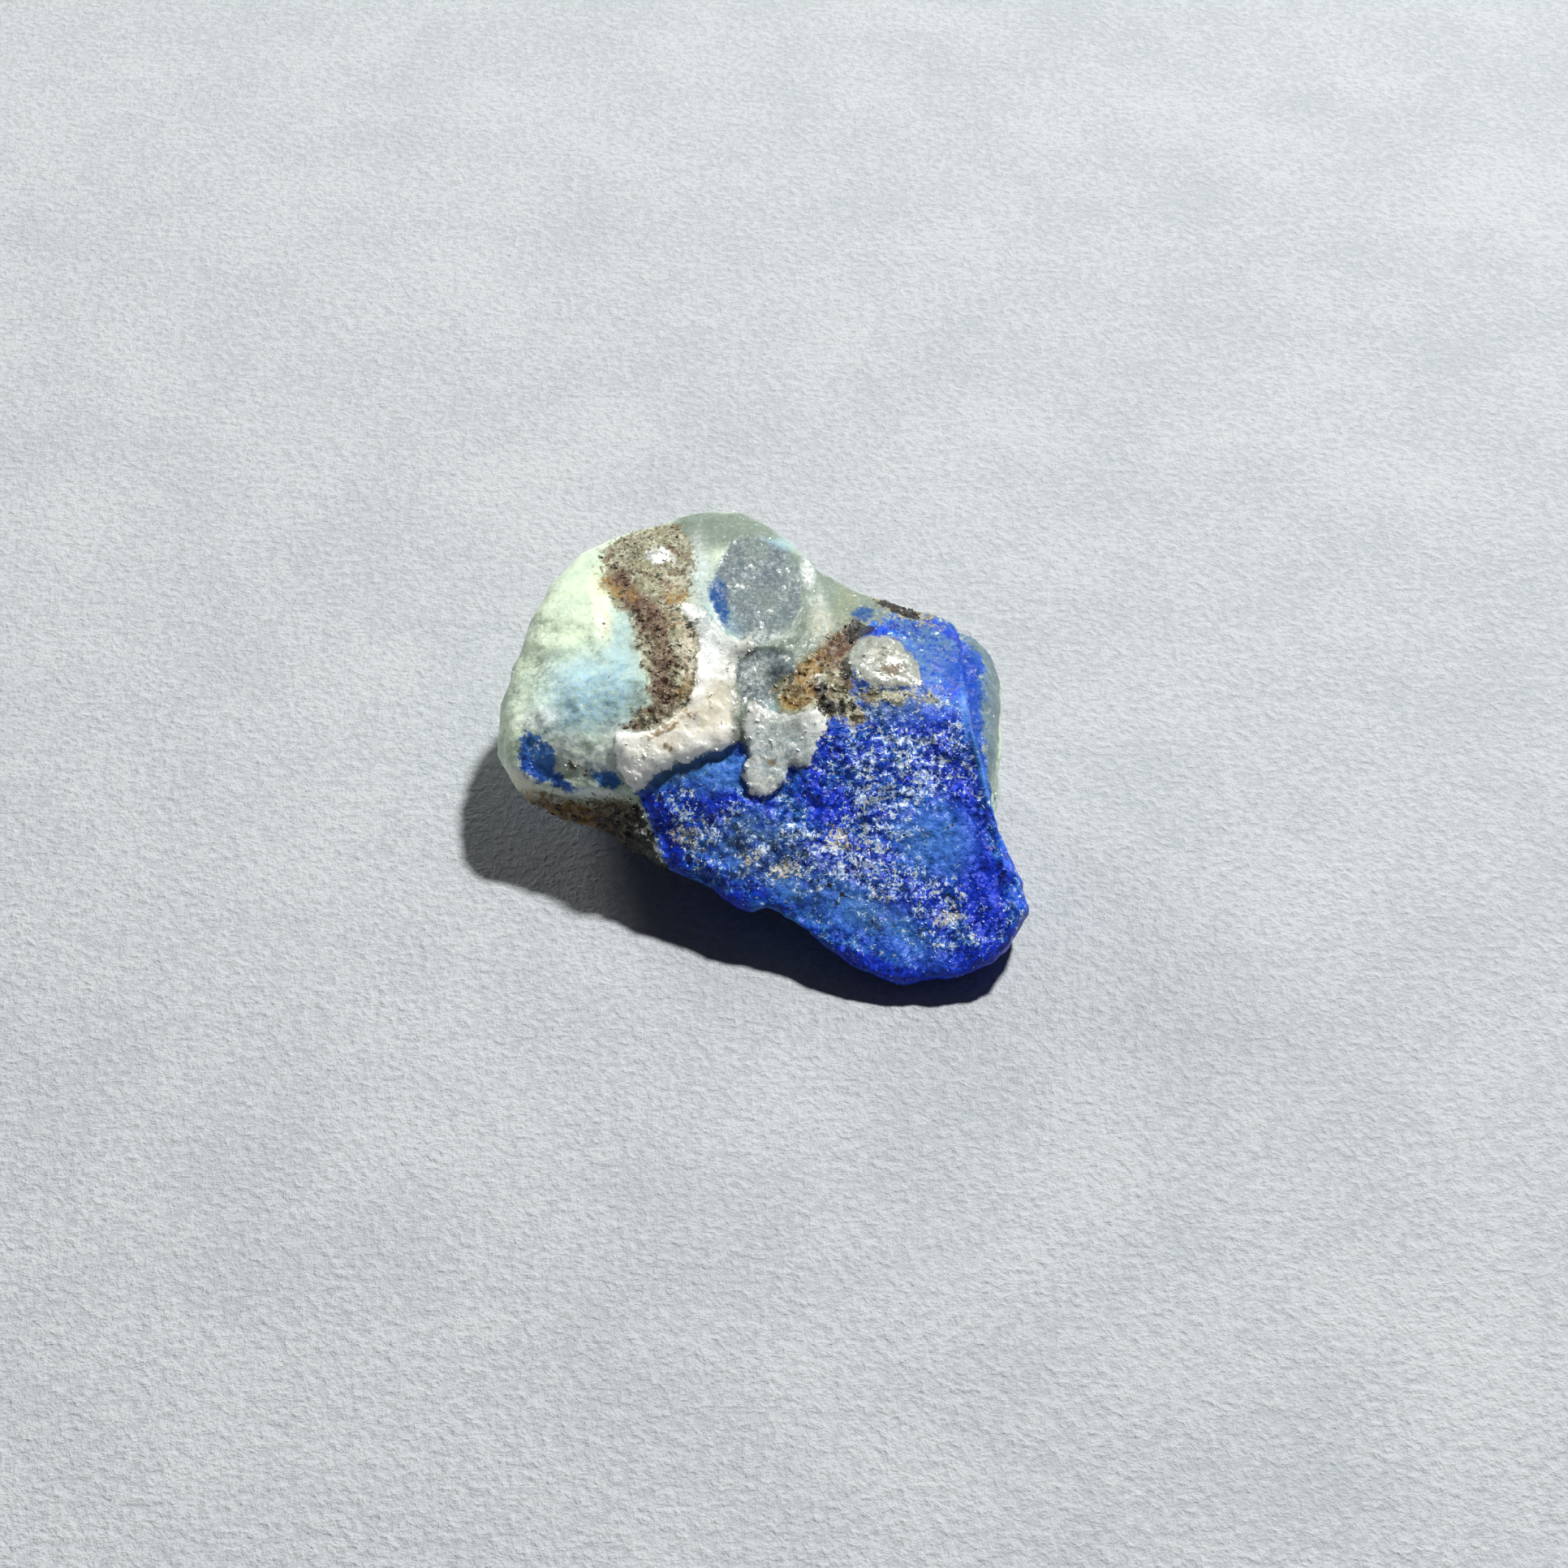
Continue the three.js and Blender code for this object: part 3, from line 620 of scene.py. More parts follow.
def triangles_of(mesh: bpy.types.Mesh) -> np.ndarray:
    """Reads the numbers of the three corners of each of a mesh's triangles.

    Args:
        mesh: a mesh of triangles only.

    Returns:
        The numbers, three to a row.
    """
    corners = np.zeros(len(mesh.polygons) * 3, np.int32)
    mesh.polygons.foreach_get("vertices", corners)
    return corners.reshape(-1, 3)


def grain_noise(points: np.ndarray, length: float, offset: float = 0.0) -> np.ndarray:
    """Samples smooth noise over points.

    Args:
        points: n by 3 places in millimetres.
        length: the size of one bump.
        offset: moves the pattern, so that two samples differ.

    Returns:
        Values from about -1 to 1.
    """
    return np.array([noise.noise(Vector(p)) for p in points / length + offset])


def block_noise(points: np.ndarray, size: float) -> np.ndarray:
    """Samples a broken, blocky relief: each cell is a small plane at its own height and slope.

    Args:
        points: n by 3 places in millimetres.
        size: the size of one block.

    Returns:
        Heights from about -1 to 1.
    """
    heights = np.zeros(len(points))
    for index, point in enumerate(points / size):
        centre = noise.voronoi(Vector(point))[1][0]
        slope = noise.cell_vector(centre * 7.13)
        step = noise.cell(centre * 3.7) * BLOCK_STEP
        heights[index] = step + (Vector(point) - centre).dot(slope) * BLOCK_SLOPE
    return heights


ROCK_SLOT, CLEAR_SLOT, CALCITE_SLOT = range(3)  # the stone's material slots, as in FINISHES


@dataclass
class StoneBody:
    """The whole stone: the CAD solid refined, roughened by mineral and given its attributes.

    Pairs of numbers are a pattern's length and its height, unless a name or comment says otherwise.
    """

    name: str = "afghanite_body"
    halvings: int = 2
    settles: int = 1
    evenings: int = 30
    settle: float = 0.5
    blue_grain: float = 0.10
    calcite_grain: float = 0.03
    rust_grain: float = 0.05
    skin_grain: float = 0.055
    glass_ripple: float = 0.02
    grain_lengths: tuple[float, float] = (0.75, 0.36)
    grain_share: float = 0.6
    calcite_rag: tuple[float, float] = (0.4, 0.16)  # how long and how deep its edge's bays are
    calcite_edge: float = 0.12
    rust_soft: float = 0.5
    calcite_block: tuple[float, float] = (0.5, 0.045)
    rust_crumb: tuple[float, float] = (0.55, 0.10)
    skin_ripple: tuple[float, float] = (1.5, 0.06)
    chip: tuple[float, float] = (2.1, 0.3)
    crumb_base: float = 0.25
    chip_top: float = 0.2
    skin_chip: float = 0.7
    disc_fill: tuple[float, float] = (0.3, 0.7)  # how high the glass rises and over what length
    calcite_lift: float = 0.05
    rust_edge: float = 0.1  # how far inside the rust its finish begins
    shown_depth: float = 0.6  # the thickness in front over which creases fade out
    same_place: float = 1e-7  # corners of the CAD solid nearer than this, in metres, are one
    foot: float = 0.02  # corners below this height stay where they are when the mesh is eased
    foot_fade: float = 0.6  # the height over which the relief comes in
    touching: float = 0.12  # thickness in front that counts as none
    behind: float = 0.3  # thickness in front from which depths are evened out
    minerals: MineralMap = field(default_factory=MineralMap)
    marks: dict[Mark, np.ndarray] = field(default_factory=dict)
    shown: np.ndarray = field(default_factory=lambda: np.zeros(0))

    def build(self) -> bpy.types.Object:
        """Makes the stone's mesh object.

        Returns:
            The finished object, with one float attribute for each mark.
        """
        shape = self.refined()
        points = np.array([v.co[:] for v in shape.verts]) / MM
        hidden = self.hidden_depth(shape, points)
        self.marks = self.minerals.fields(points, hidden)
        self.shown = np.exp(-hidden / self.shown_depth)
        self.roughen(shape, points)
        mesh = bpy.data.meshes.new(self.name)
        shape.to_mesh(mesh)
        shape.free()
        for mark, values in self.marks.items():
            write_layer(mesh, mark.value, values)
        mesh.shade_smooth()
        return put(self.name, mesh)

    def dress(self, stone: bpy.types.Object) -> None:
        """Gives the stone its finish, with clearer ones on the calcite and on the glass and skin.

        Args:
            stone: the stone's object.
        """
        mesh = stone.data
        for finish in FINISHES:
            mesh.materials.append(finish.build())
        corners = triangles_of(mesh)
        blue = self.marks[Mark.AFGHANITE][corners].mean(1) > 0
        rust = self.marks[Mark.RUST][corners].mean(1) > self.rust_edge
        calcite = self.marks[Mark.CALCITE][corners].mean(1) > 0
        slots = np.where(calcite, CALCITE_SLOT, np.where(blue | rust, ROCK_SLOT, CLEAR_SLOT))
        mesh.polygons.foreach_set("material_index", slots.astype(np.int32))

    def refined(self) -> bmesh.types.BMesh:
        """Copies the CAD solid, merges its corners and halves its edges.

        Returns:
            The finer mesh, still in metres.
        """
        shape = bmesh.new()
        shape.from_mesh(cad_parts[STONE_NODE].data)
        bmesh.ops.remove_doubles(shape, verts=shape.verts, dist=self.same_place)
        for _ in range(self.halvings):
            bmesh.ops.subdivide_edges(shape, edges=shape.edges, cuts=1, use_grid_fill=True)
            for _ in range(self.settles):
                bmesh.ops.smooth_vert(
                    shape, verts=[v for v in shape.verts if v.co.z > self.foot * MM],
                    factor=self.settle, use_axis_x=True, use_axis_y=True, use_axis_z=True,
                )
        bmesh.ops.recalc_face_normals(shape, faces=shape.faces)
        shape.normal_update()
        return shape

    def hidden_depth(self, shape: bmesh.types.BMesh, points: np.ndarray) -> np.ndarray:
        """Finds how much stone lies in front of each point, seen from the eye.

        Args:
            shape: the mesh, in metres.
            points: its corners in millimetres.

        Returns:
            The thickness in millimetres, 0 on the shown side.
        """
        tree = BVHTree.FromBMesh(shape)
        shape.verts.index_update()
        eye = Vector(SHOW.eye * MM)
        depths = np.zeros(len(points))
        for index, point in enumerate(points):
            ray = Vector(point * MM) - eye
            hit = tree.ray_cast(eye, ray.normalized())[3]
            if hit is not None:
                depths[index] = max(0.0, (ray.length - hit) / MM - self.touching)
        return self.evened(shape, depths)

    def evened(self, shape: bmesh.types.BMesh, depths: np.ndarray) -> np.ndarray:
        """Evens out the depths of hidden points, so that patterns don't jump behind an overhang.

        Args:
            shape: the mesh.
            depths: the depth of each corner.

        Returns:
            The evened depths. Shown points keep theirs.
        """
        ends = np.array([[v.index for v in edge.verts] for edge in shape.edges]).T
        behind = depths > self.behind
        count = sum(np.bincount(end, minlength=len(depths)) for end in ends)
        for _ in range(self.evenings):
            near = sum(
                np.bincount(end, weights=depths[other], minlength=len(depths))
                for end, other in (ends, ends[::-1])
            )
            depths = np.where(behind, near / count, depths)
        return depths

    def relief(self, points: np.ndarray) -> np.ndarray:
        """Works out how far each point stands out or sinks in, mineral by mineral.

        Args:
            points: the mesh's corners in millimetres.

        Returns:
            Heights in millimetres along the normals.
        """
        length, depth = self.calcite_rag
        bays = depth * grain_noise(points, length, 7.9)
        calcite = within(self.marks[Mark.CALCITE] + bays, self.calcite_edge)
        rust = within(self.marks[Mark.RUST], self.rust_soft) * (1 - calcite)
        glass = within(self.marks[Mark.GLASS]) * (1 - calcite)
        blue = within(self.marks[Mark.AFGHANITE]) * (1 - calcite) * (1 - rust)
        skin = (1 - calcite) * (1 - rust) * (1 - glass) * (1 - blue)
        coarse, fine = self.grain_lengths
        grain = self.grain_share * grain_noise(points, coarse)
        grain = grain + self.grain_share * grain_noise(points, fine, 3.7)
        crumbs = np.abs(grain_noise(points, self.rust_crumb[0], 9.1)) - self.crumb_base
        blocks = block_noise(points, self.calcite_block[0])
        ripple = grain_noise(points, self.skin_ripple[0], 5.3)
        chips = self.chip_top - np.abs(grain_noise(points, self.chip[0], 6.1))
        across, up = SHOW.places(points)
        creases = self.shown * sum(
            crease.height(across, up)
            * (within(self.marks[crease.on], self.calcite_edge) if crease.on else 1)
            for crease in CREASES
        )
        rise, reach = self.disc_fill
        bulge = rise * within(self.marks[Mark.GLASS] - reach, reach)
        crust = blocks * self.calcite_block[1]
        return creases + chips * self.chip[1] * (blue + self.skin_chip * skin) + (
            calcite * (self.calcite_lift + crust + self.calcite_grain * grain)
            + rust * (crumbs * 2 * self.rust_crumb[1] + self.rust_grain * grain)
            + blue * grain * self.blue_grain
            + glass * (self.glass_ripple * ripple + bulge)
            + skin * (ripple * self.skin_ripple[1] + self.skin_grain * grain)
        )

    def roughen(self, shape: bmesh.types.BMesh, points: np.ndarray) -> None:
        """Moves the mesh's corners by the relief, kept inside the CAD solid's box.

        Args:
            shape: the mesh, in metres, which is changed.
            points: its corners in millimetres.
        """
        low, high = CAD_BOX
        for vert, height in zip(shape.verts, self.relief(points)):
            settled = min(1.0, max(0.0, vert.co.z / (self.foot_fade * MM)))
            place = vert.co + vert.normal * float(height) * settled * MM
            vert.co = [min(max(place[k], low[k]), high[k]) for k in range(3)]
        shape.normal_update()


Socket = bpy.types.NodeSocket
Value = "Term | Socket | float | tuple"
MINERALS = (Mark.GLASS, Mark.AFGHANITE, Mark.RUST, Mark.CALCITE)


class Term:
    """The value of one node's output, with the usual arithmetic."""

    def __init__(self, graph: Graph, socket: Socket) -> None:
        """Keeps the graph it belongs to and the output that gives it."""
        self.graph = graph
        self.socket = socket

    def __add__(self, other: Value) -> Term:
        """Returns the sum."""
        return self.graph.math("ADD", self, other)

    def __sub__(self, other: Value) -> Term:
        """Returns the difference."""
        return self.graph.math("SUBTRACT", self, other)

    def __rsub__(self, other: Value) -> Term:
        """Returns another value less this one."""
        return self.graph.math("SUBTRACT", other, self)

    def __mul__(self, other: Value) -> Term:
        """Returns the product."""
        return self.graph.math("MULTIPLY", self, other)

    def rest(self) -> Term:
        """Returns one less the value, kept between 0 and 1."""
        return self.graph.math("SUBTRACT", 1.0, self, clamp=True)

    def step(self, low: Value, high: Value) -> Term:
        """Turns the value into a smooth step.

        Args:
            low: where the step is 0.
            high: where it is 1.

        Returns:
            The step.
        """
        feeds = {"Value": self, "From Min": low, "From Max": high}
        node = self.graph.add("ShaderNodeMapRange", feeds, interpolation_type="SMOOTHSTEP")
        return Term(self.graph, node.outputs[0])


class Graph:
    """Adds and joins the nodes of one material or node group."""

    def __init__(self, tree: bpy.types.NodeTree) -> None:
        """Keeps the node tree that the other methods fill."""
        self.tree = tree

    def add(
        self, kind: str, feeds: dict[int | str, Value] | None = None, **settings: object
    ) -> bpy.types.Node:
        """Adds a node.

        Args:
            kind: the node's type.
            feeds: what goes into its inputs, by name or number.
            settings: its plain properties.

        Returns:
            The node.
        """
        node = self.tree.nodes.new(kind)
        for name, value in settings.items():
            setattr(node, name, value)
        for name, value in (feeds or {}).items():
            self.feed(node.inputs[name], value)
        return node

    def feed(self, socket: Socket, value: Value) -> None:
        """Joins an input socket to another, or sets it.

        Args:
            socket: the input to fill.
            value: a term, another socket or a plain value.
        """
        value = value.socket if isinstance(value, Term) else value
        if isinstance(value, bpy.types.NodeSocket):
            self.tree.links.new(value, socket)
        else:
            socket.default_value = value

    def math(self, operation: str, a: Value, b: Value = 0.0, clamp: bool = False) -> Term:
        """Works out one operation on two numbers, clamped to 0 to 1 if asked."""
        node = self.add("ShaderNodeMath", {0: a, 1: b}, operation=operation, use_clamp=clamp)
        return Term(self, node.outputs[0])

    def vector(self, operation: str, *feeds: Value, out: int | str = 0) -> Term:
        """Works out one operation on vectors and returns the output that `out` names."""
        node = self.add("ShaderNodeVectorMath", dict(enumerate(feeds)), operation=operation)
        return Term(self, node.outputs[out])

    def blend(self, share: Value, a: Value, b: Value) -> Term:
        """Mixes colour a with colour b, of which `share` shows."""
        node = self.add("ShaderNodeMix", {0: share, 6: a, 7: b}, data_type="RGBA")
        return Term(self, node.outputs[2])

    def lerp(self, share: Value, a: Value, b: Value) -> Term:
        """Mixes number a with number b, of which `share` counts."""
        node = self.add("ShaderNodeMix", {0: share, 2: a, 3: b}, data_type="FLOAT")
        return Term(self, node.outputs[0])

    def noise(
        self, place: Value, scale: Value, detail: float = 2.0, rough: float = 0.5, twist: float = 0.0
    ) -> Term:
        """Adds a noise texture.

        Args:
            place: where it is sampled.
            scale: bumps per millimetre.
            detail: finer layers.
            rough: how strong the finer layers are.
            twist: distortion.

        Returns:
            Its value, about 0.5 on average.
        """
        feeds = {"Vector": place, "Scale": scale, "Detail": detail, "Roughness": rough}
        node = self.add("ShaderNodeTexNoise", feeds | {"Distortion": twist})
        return Term(self, node.outputs[0])

    def mark(self, name: str) -> Term:
        """Reads one of the mesh's attributes."""
        return Term(self, self.add("ShaderNodeAttribute", attribute_name=name).outputs["Fac"])

    def place(self, draw: float = SHOW.draw) -> Term:
        """Gives the place on the object in millimetres.

        Args:
            draw: how far patterns are drawn out along the show direction.

        Returns:
            The place.
        """
        feeds = {
            "Vector": self.add("ShaderNodeTexCoord").outputs["Object"],
            "Rotation": (math.pi / 2 - SHOW.tilt, 0.0, 0.0),
            "Scale": (MM, MM, MM * draw),
        }
        return Term(self, self.add("ShaderNodeMapping", feeds, vector_type="TEXTURE").outputs[0])

    def group(self, effect: Effect, **inputs: Value) -> dict[str, Term]:
        """Places a shared effect.

        Args:
            effect: which one.
            inputs: what goes into its inputs, by name.

        Returns:
            Its outputs by name.
        """
        node = self.add("ShaderNodeGroup", node_tree=bpy.data.node_groups[effect.value])
        for name, value in inputs.items():
            self.feed(node.inputs[name], value)
        return {socket.name: Term(self, socket) for socket in node.outputs}


class Effect(Enum):
    """The shared effects, each a node group."""

    RAGGED = "ragged_edge"
    FACETS = "crystal_facets"
    NEEDLES = "needle_flecks"
    SPECKS = "rock_specks"


def rgb(red: int, green: int, blue: int) -> tuple[float, float, float, float]:
    """Turns a display colour into the linear colour that sockets take.

    Args:
        red, green, blue: its parts, 0 to 255.

    Returns:
        The linear colour, opaque.
    """
    parts = [v / 255 for v in (red, green, blue)]
    linear = [v / 12.92 if v <= 0.04045 else ((v + 0.055) / 1.055) ** 2.4 for v in parts]
    return (*linear, 1.0)


def new_effect(
    effect: Effect, numbers: tuple[str, ...], outputs: tuple[str, ...]
) -> tuple[Graph, dict[str, Term], bpy.types.NodeInputs]:
    """Starts a node group that takes a place and some numbers.

    Args:
        effect: which effect it is.
        numbers: names of the inputs after Place.
        outputs: names of the value outputs.

    Returns:
        Its graph, its inputs to read and its outputs to feed.
    """
    tree = bpy.data.node_groups.new(effect.value, "ShaderNodeTree")
    tree.interface.new_socket("Place", in_out="INPUT", socket_type="NodeSocketVector")
    for way, names in (("INPUT", numbers), ("OUTPUT", outputs)):
        for name in names:
            tree.interface.new_socket(name, in_out=way, socket_type="NodeSocketFloat")
    graph = Graph(tree)
    given = graph.add("NodeGroupInput").outputs
    terms = {name: Term(graph, given[name]) for name in ("Place", *numbers)}
    return graph, terms, graph.add("NodeGroupOutput").inputs


@dataclass(frozen=True)
class SharedEffects:
    """Builds the node groups that the finishes share."""

    needle_turns: tuple[tuple[float, float, float], ...] = (
        (20, 35, 10), (75, -20, 65), (-35, 50, 120), (10, -65, 155),
    )
    needle_stretch: tuple[float, float, float] = (2.3, 6.9, 6.9)
    needle_warp: tuple[float, float] = (2.0, 0.55)

    def build(self) -> None:
        """Makes every group once."""
        self.ragged_edge()
        self.crystal_facets()
        self.needle_flecks()
        self.rock_specks()

    def ragged_edge(self) -> None:
        """A signed distance turned into a mask with a broken edge."""
        graph, given, made = new_effect(Effect.RAGGED, ("Distance", "Jag", "Soft"), ("Mask",))
        coarse = graph.noise(given["Place"], 1.7, 3.0, 0.6) - 0.5
        fine = graph.noise(given["Place"], 6.5, 2.0, 0.6) - 0.5
        moved = given["Distance"] + (coarse * 2.2 + fine * 1.4) * given["Jag"]
        graph.feed(made["Mask"], moved.step(given["Soft"] * -1.0, given["Soft"]))

    def crystal_facets(self) -> None:
        """Small flat facets, each with its own tilt and tone."""
        graph, given, made = new_effect(Effect.FACETS, ("Scale",), ("Height", "Tone", "Seam"))
        feeds = {"Vector": given["Place"], "Scale": given["Scale"]}
        cells = graph.add("ShaderNodeTexVoronoi", feeds, feature="F1").outputs
        offset = graph.vector("SUBTRACT", given["Place"], cells["Position"])
        tilt = graph.vector("SUBTRACT", cells["Color"], (0.5, 0.5, 0.5))
        graph.feed(made["Height"], graph.vector("DOT_PRODUCT", offset, tilt, out="Value"))
        split = graph.add("ShaderNodeSeparateColor", {0: cells["Color"]})
        graph.feed(made["Tone"], split.outputs[0])
        graph.feed(made["Seam"], Term(graph, cells["Distance"]).step(0.2, 0.75))

    def needle_flecks(self) -> None:
        """Short pale flecks lying every way, bent and clumped, each with a fainter halo."""
        graph, given, made = new_effect(Effect.NEEDLES, ("Amount",), ("Mask", "Halo"))
        scale, strength = self.needle_warp
        warp = graph.add("ShaderNodeTexNoise", {"Vector": given["Place"], "Scale": scale})
        pushed = graph.vector(
            "MULTIPLY_ADD", warp.outputs["Color"], (strength,) * 3, given["Place"]
        )
        edge = 0.77 - given["Amount"] * 0.17
        total: Value = 0.0
        for turn in self.needle_turns:
            feeds = {
                "Vector": pushed,
                "Rotation": tuple(math.radians(angle) for angle in turn),
                "Scale": tuple(1 / stretch for stretch in self.needle_stretch),
            }
            laid = graph.add("ShaderNodeMapping", feeds, vector_type="TEXTURE").outputs[0]
            total = graph.math("MAXIMUM", total, graph.noise(laid, 1.0, 1.0, 0.5))
        graph.feed(made["Mask"], total.step(edge, edge + 0.06))
        graph.feed(made["Halo"], total.step(edge - 0.07, edge + 0.02))

    def rock_specks(self) -> None:
        """Irregular specks."""
        graph, given, made = new_effect(Effect.SPECKS, ("Scale", "Amount"), ("Mask",))
        value = graph.noise(given["Place"], given["Scale"], 3.0, 0.6, 0.3)
        edge = 0.78 - given["Amount"] * 0.32
        graph.feed(made["Mask"], value.step(edge, edge + 0.05))


class RockGraph(Graph):
    """The nodes of one rock finish, with the patterns and masks that its layers share."""

    jag_and_soft = {
        Mark.AFGHANITE: (0.4, 0.1), Mark.CALCITE: (0.36, 0.06),
        Mark.RUST: (0.7, 0.2), Mark.GLASS: (0.08, 0.16),
    }

    def __init__(self, tree: bpy.types.NodeTree) -> None:
        """Reads the place and every mark.

        Args:
            tree: the material's empty node tree.
        """
        super().__init__(tree)
        self.at = self.place()
        self.masks = {mark: self.mask(mark) for mark in Mark}

    def __getitem__(self, mark: Mark) -> Term:
        """Returns a mark's mask."""
        return self.masks[mark]

    def mask(self, mark: Mark) -> Term:
        """Reads a tint as it is, and a zone's distance as a mask with a ragged edge.

        Args:
            mark: the mineral or tint.

        Returns:
            Its mask.
        """
        value = self.mark(mark.value)
        if mark not in ZONES:
            return value
        jag, soft = self.jag_and_soft[mark]
        return self.group(Effect.RAGGED, Place=self.at, Distance=value, Jag=jag, Soft=soft)["Mask"]

    def cloud(self, scale: float, detail: float = 2.0, rough: float = 0.5, twist: float = 0.0) -> Term:
        """Adds noise at the rock's places, as `noise` does."""
        return self.noise(self.at, scale, detail, rough, twist)

    def specks(self, scale: float, amount: Value) -> Term:
        """Adds irregular specks, `scale` of them per millimetre."""
        return self.group(Effect.SPECKS, Place=self.at, Scale=scale, Amount=amount)["Mask"]

    def facets(self, scale: float) -> dict[str, Term]:
        """Adds flat facets, `scale` of them per millimetre, and returns their outputs."""
        return self.group(Effect.FACETS, Place=self.at, Scale=scale)

    def coated(self, shade: Value, *coats: tuple[Value, Value]) -> Value:
        """Lays colours over each other.

        Args:
            shade: the colour at the bottom.
            coats: pairs of a share and the colour laid on by it, lowest first.

        Returns:
            The colour that shows.
        """
        for share, tint in coats:
            shade = self.blend(share, shade, tint)
        return shade

    def by_mineral(self, value: Value, *own: Value) -> Value:
        """Gives each mineral its own number.

        Args:
            value: the skin's number.
            own: the numbers of MINERALS, in that order.

        Returns:
            The number that counts.
        """
        for mark, number in zip(MINERALS, own, strict=True):
            value = self.lerp(self[mark], value, number)
        return value


@dataclass(frozen=True)
class RockFinish:
    """The whole stone's finish: afghanite, calcite, gritty rust, grey glass and pale green skin.

    `clear` is how much light passes through, and `toned` gives each small crystal its own tone. A
    `polish` above 0 is one roughness for the whole finish, and `gloss` its specular level.
    """

    name: str = "afghanite_rock"
    clear: float = 0.12
    clear_depth: float = 0.35
    toned: bool = False
    polish: float = 0.0
    gloss: float = 0.35
    deep_blue: tuple = rgb(0, 50, 204)
    mid_blue: tuple = rgb(10, 88, 196)
    grey_blue: tuple = rgb(66, 126, 186)
    night_blue: tuple = rgb(8, 36, 112)
    periwinkle: tuple = rgb(72, 134, 214)
    needle: tuple = rgb(214, 226, 238)
    halo: tuple = rgb(88, 124, 184)
    slate: tuple = rgb(70, 102, 128)
    tan: tuple = rgb(204, 200, 182)
    green_skin: tuple = rgb(202, 218, 192)
    green_shade: tuple = rgb(186, 204, 184)
    green_dark: tuple = rgb(136, 152, 136)
    green_rim: tuple = rgb(110, 124, 114)
    pore: tuple = rgb(128, 142, 124)
    sky: tuple = rgb(146, 184, 202)
    frost_and_painted_light: tuple = rgb(236, 242, 242)
    cream: tuple = rgb(250, 242, 218)
    white: tuple = rgb(254, 254, 250)
    calcite_grey: tuple = rgb(230, 236, 232)
    calcite_blue: tuple = rgb(172, 192, 200)
    calcite_veil: tuple = rgb(128, 134, 126)
    # painted shadow, laid along the foot of the calcite crust
    calcite_foot_shadow: tuple = rgb(74, 78, 70)
    glass_grey: tuple = rgb(92, 104, 112)
    glass_green: tuple = rgb(106, 120, 116)
    glass_light: tuple = rgb(168, 180, 184)
    glass_dark: tuple = rgb(72, 84, 88)
    dye_and_painted_shade: tuple = rgb(0, 66, 124)
    olive: tuple = rgb(158, 150, 96)
    brown: tuple = rgb(106, 86, 64)
    red_brown: tuple = rgb(74, 42, 32)
    gold: tuple = rgb(134, 102, 42)
    grit: tuple = rgb(132, 132, 108)
    grit_light: tuple = rgb(188, 190, 168)
    soot: tuple = rgb(22, 20, 20)

    def build(self) -> bpy.types.Material:
        """Makes the material, which reads the stone's attributes.

        Returns:
            The material.
        """
        material = bpy.data.materials.new(self.name)
        material.use_nodes = True
        material.node_tree.nodes.clear()
        rock = RockGraph(material.node_tree)
        shade = self.colour(rock)
        if self.toned:
            tone = rock.lerp(rock.mark("tone"), 0.75, 1.2)
            scaled = rock.add("ShaderNodeVectorMath", {0: shade, "Scale": tone}, operation="SCALE")
            shade = scaled.outputs[0]
        bump = {"Strength": 1.0, "Distance": MM, "Height": self.height(rock)}
        feeds = {
            "Subsurface Weight": self.clear,
            "Subsurface Radius": (1.0, 1.0, 1.1),
            "Subsurface Scale": self.clear_depth * MM,
            "IOR": 1.5,
            "Specular IOR Level": self.gloss,
            "Base Color": shade,
            "Roughness": self.polish or self.roughness(rock),
            "Normal": rock.add("ShaderNodeBump", bump).outputs[0],
        }
        shader = rock.add("ShaderNodeBsdfPrincipled", feeds, subsurface_method="RANDOM_WALK")
        rock.add("ShaderNodeOutputMaterial", {"Surface": shader.outputs[0]})
        return material

    def colour(self, rock: RockGraph) -> Value:
        """Lays the minerals over each other, with a painted shadow along the calcite's foot.

        Args:
            rock: the material's nodes.

        Returns:
            The colour.
        """
        # the dye layer also lays painted shade on the strip right of the ridge
        dye_and_painted_shade = rock[Mark.DYE_AND_PAINTED_SHADE]
        wash = (dye_and_painted_shade + (rock.cloud(3.4, 4.0, 0.72) - 0.5) * 2.2).step(0.15, 0.95)
        wash = wash * dye_and_painted_shade.step(0.0, 0.25) * rock.lerp(rock[Mark.AFGHANITE], 1.0, 0.6)
        near_rust = rock.mark(Mark.RUST.value).step(-1.6, 0.5)
        spill = rock.specks(2.4, near_rust * 0.72) * rock[Mark.AFGHANITE].rest() * 0.7
        # painted shadow: a dark line just outside the calcite, where its raised edge would shade the
        # rock
        foot_shadow = rock.mark(Mark.CALCITE.value).step(-0.3, -0.02) * rock[Mark.CALCITE].rest()
        return rock.coated(
            self.skin_colour(rock),
            (rock[Mark.GLASS], self.glass_colour(rock)),
            (rock[Mark.AFGHANITE], self.blue_colour(rock)),
            (wash * 0.96, self.dye_and_painted_shade),
            (rock[Mark.RUST], self.grit_colour(rock)),
            (spill, self.brown),
            (rock.specks(2.6, rock[Mark.SOOT] * 1.5) * 0.92, self.soot),
            (foot_shadow * rock.cloud(3.0).step(0.38, 0.58) * 0.45, self.calcite_foot_shadow),
            (rock[Mark.CALCITE], self.calcite_colour(rock)),
        )

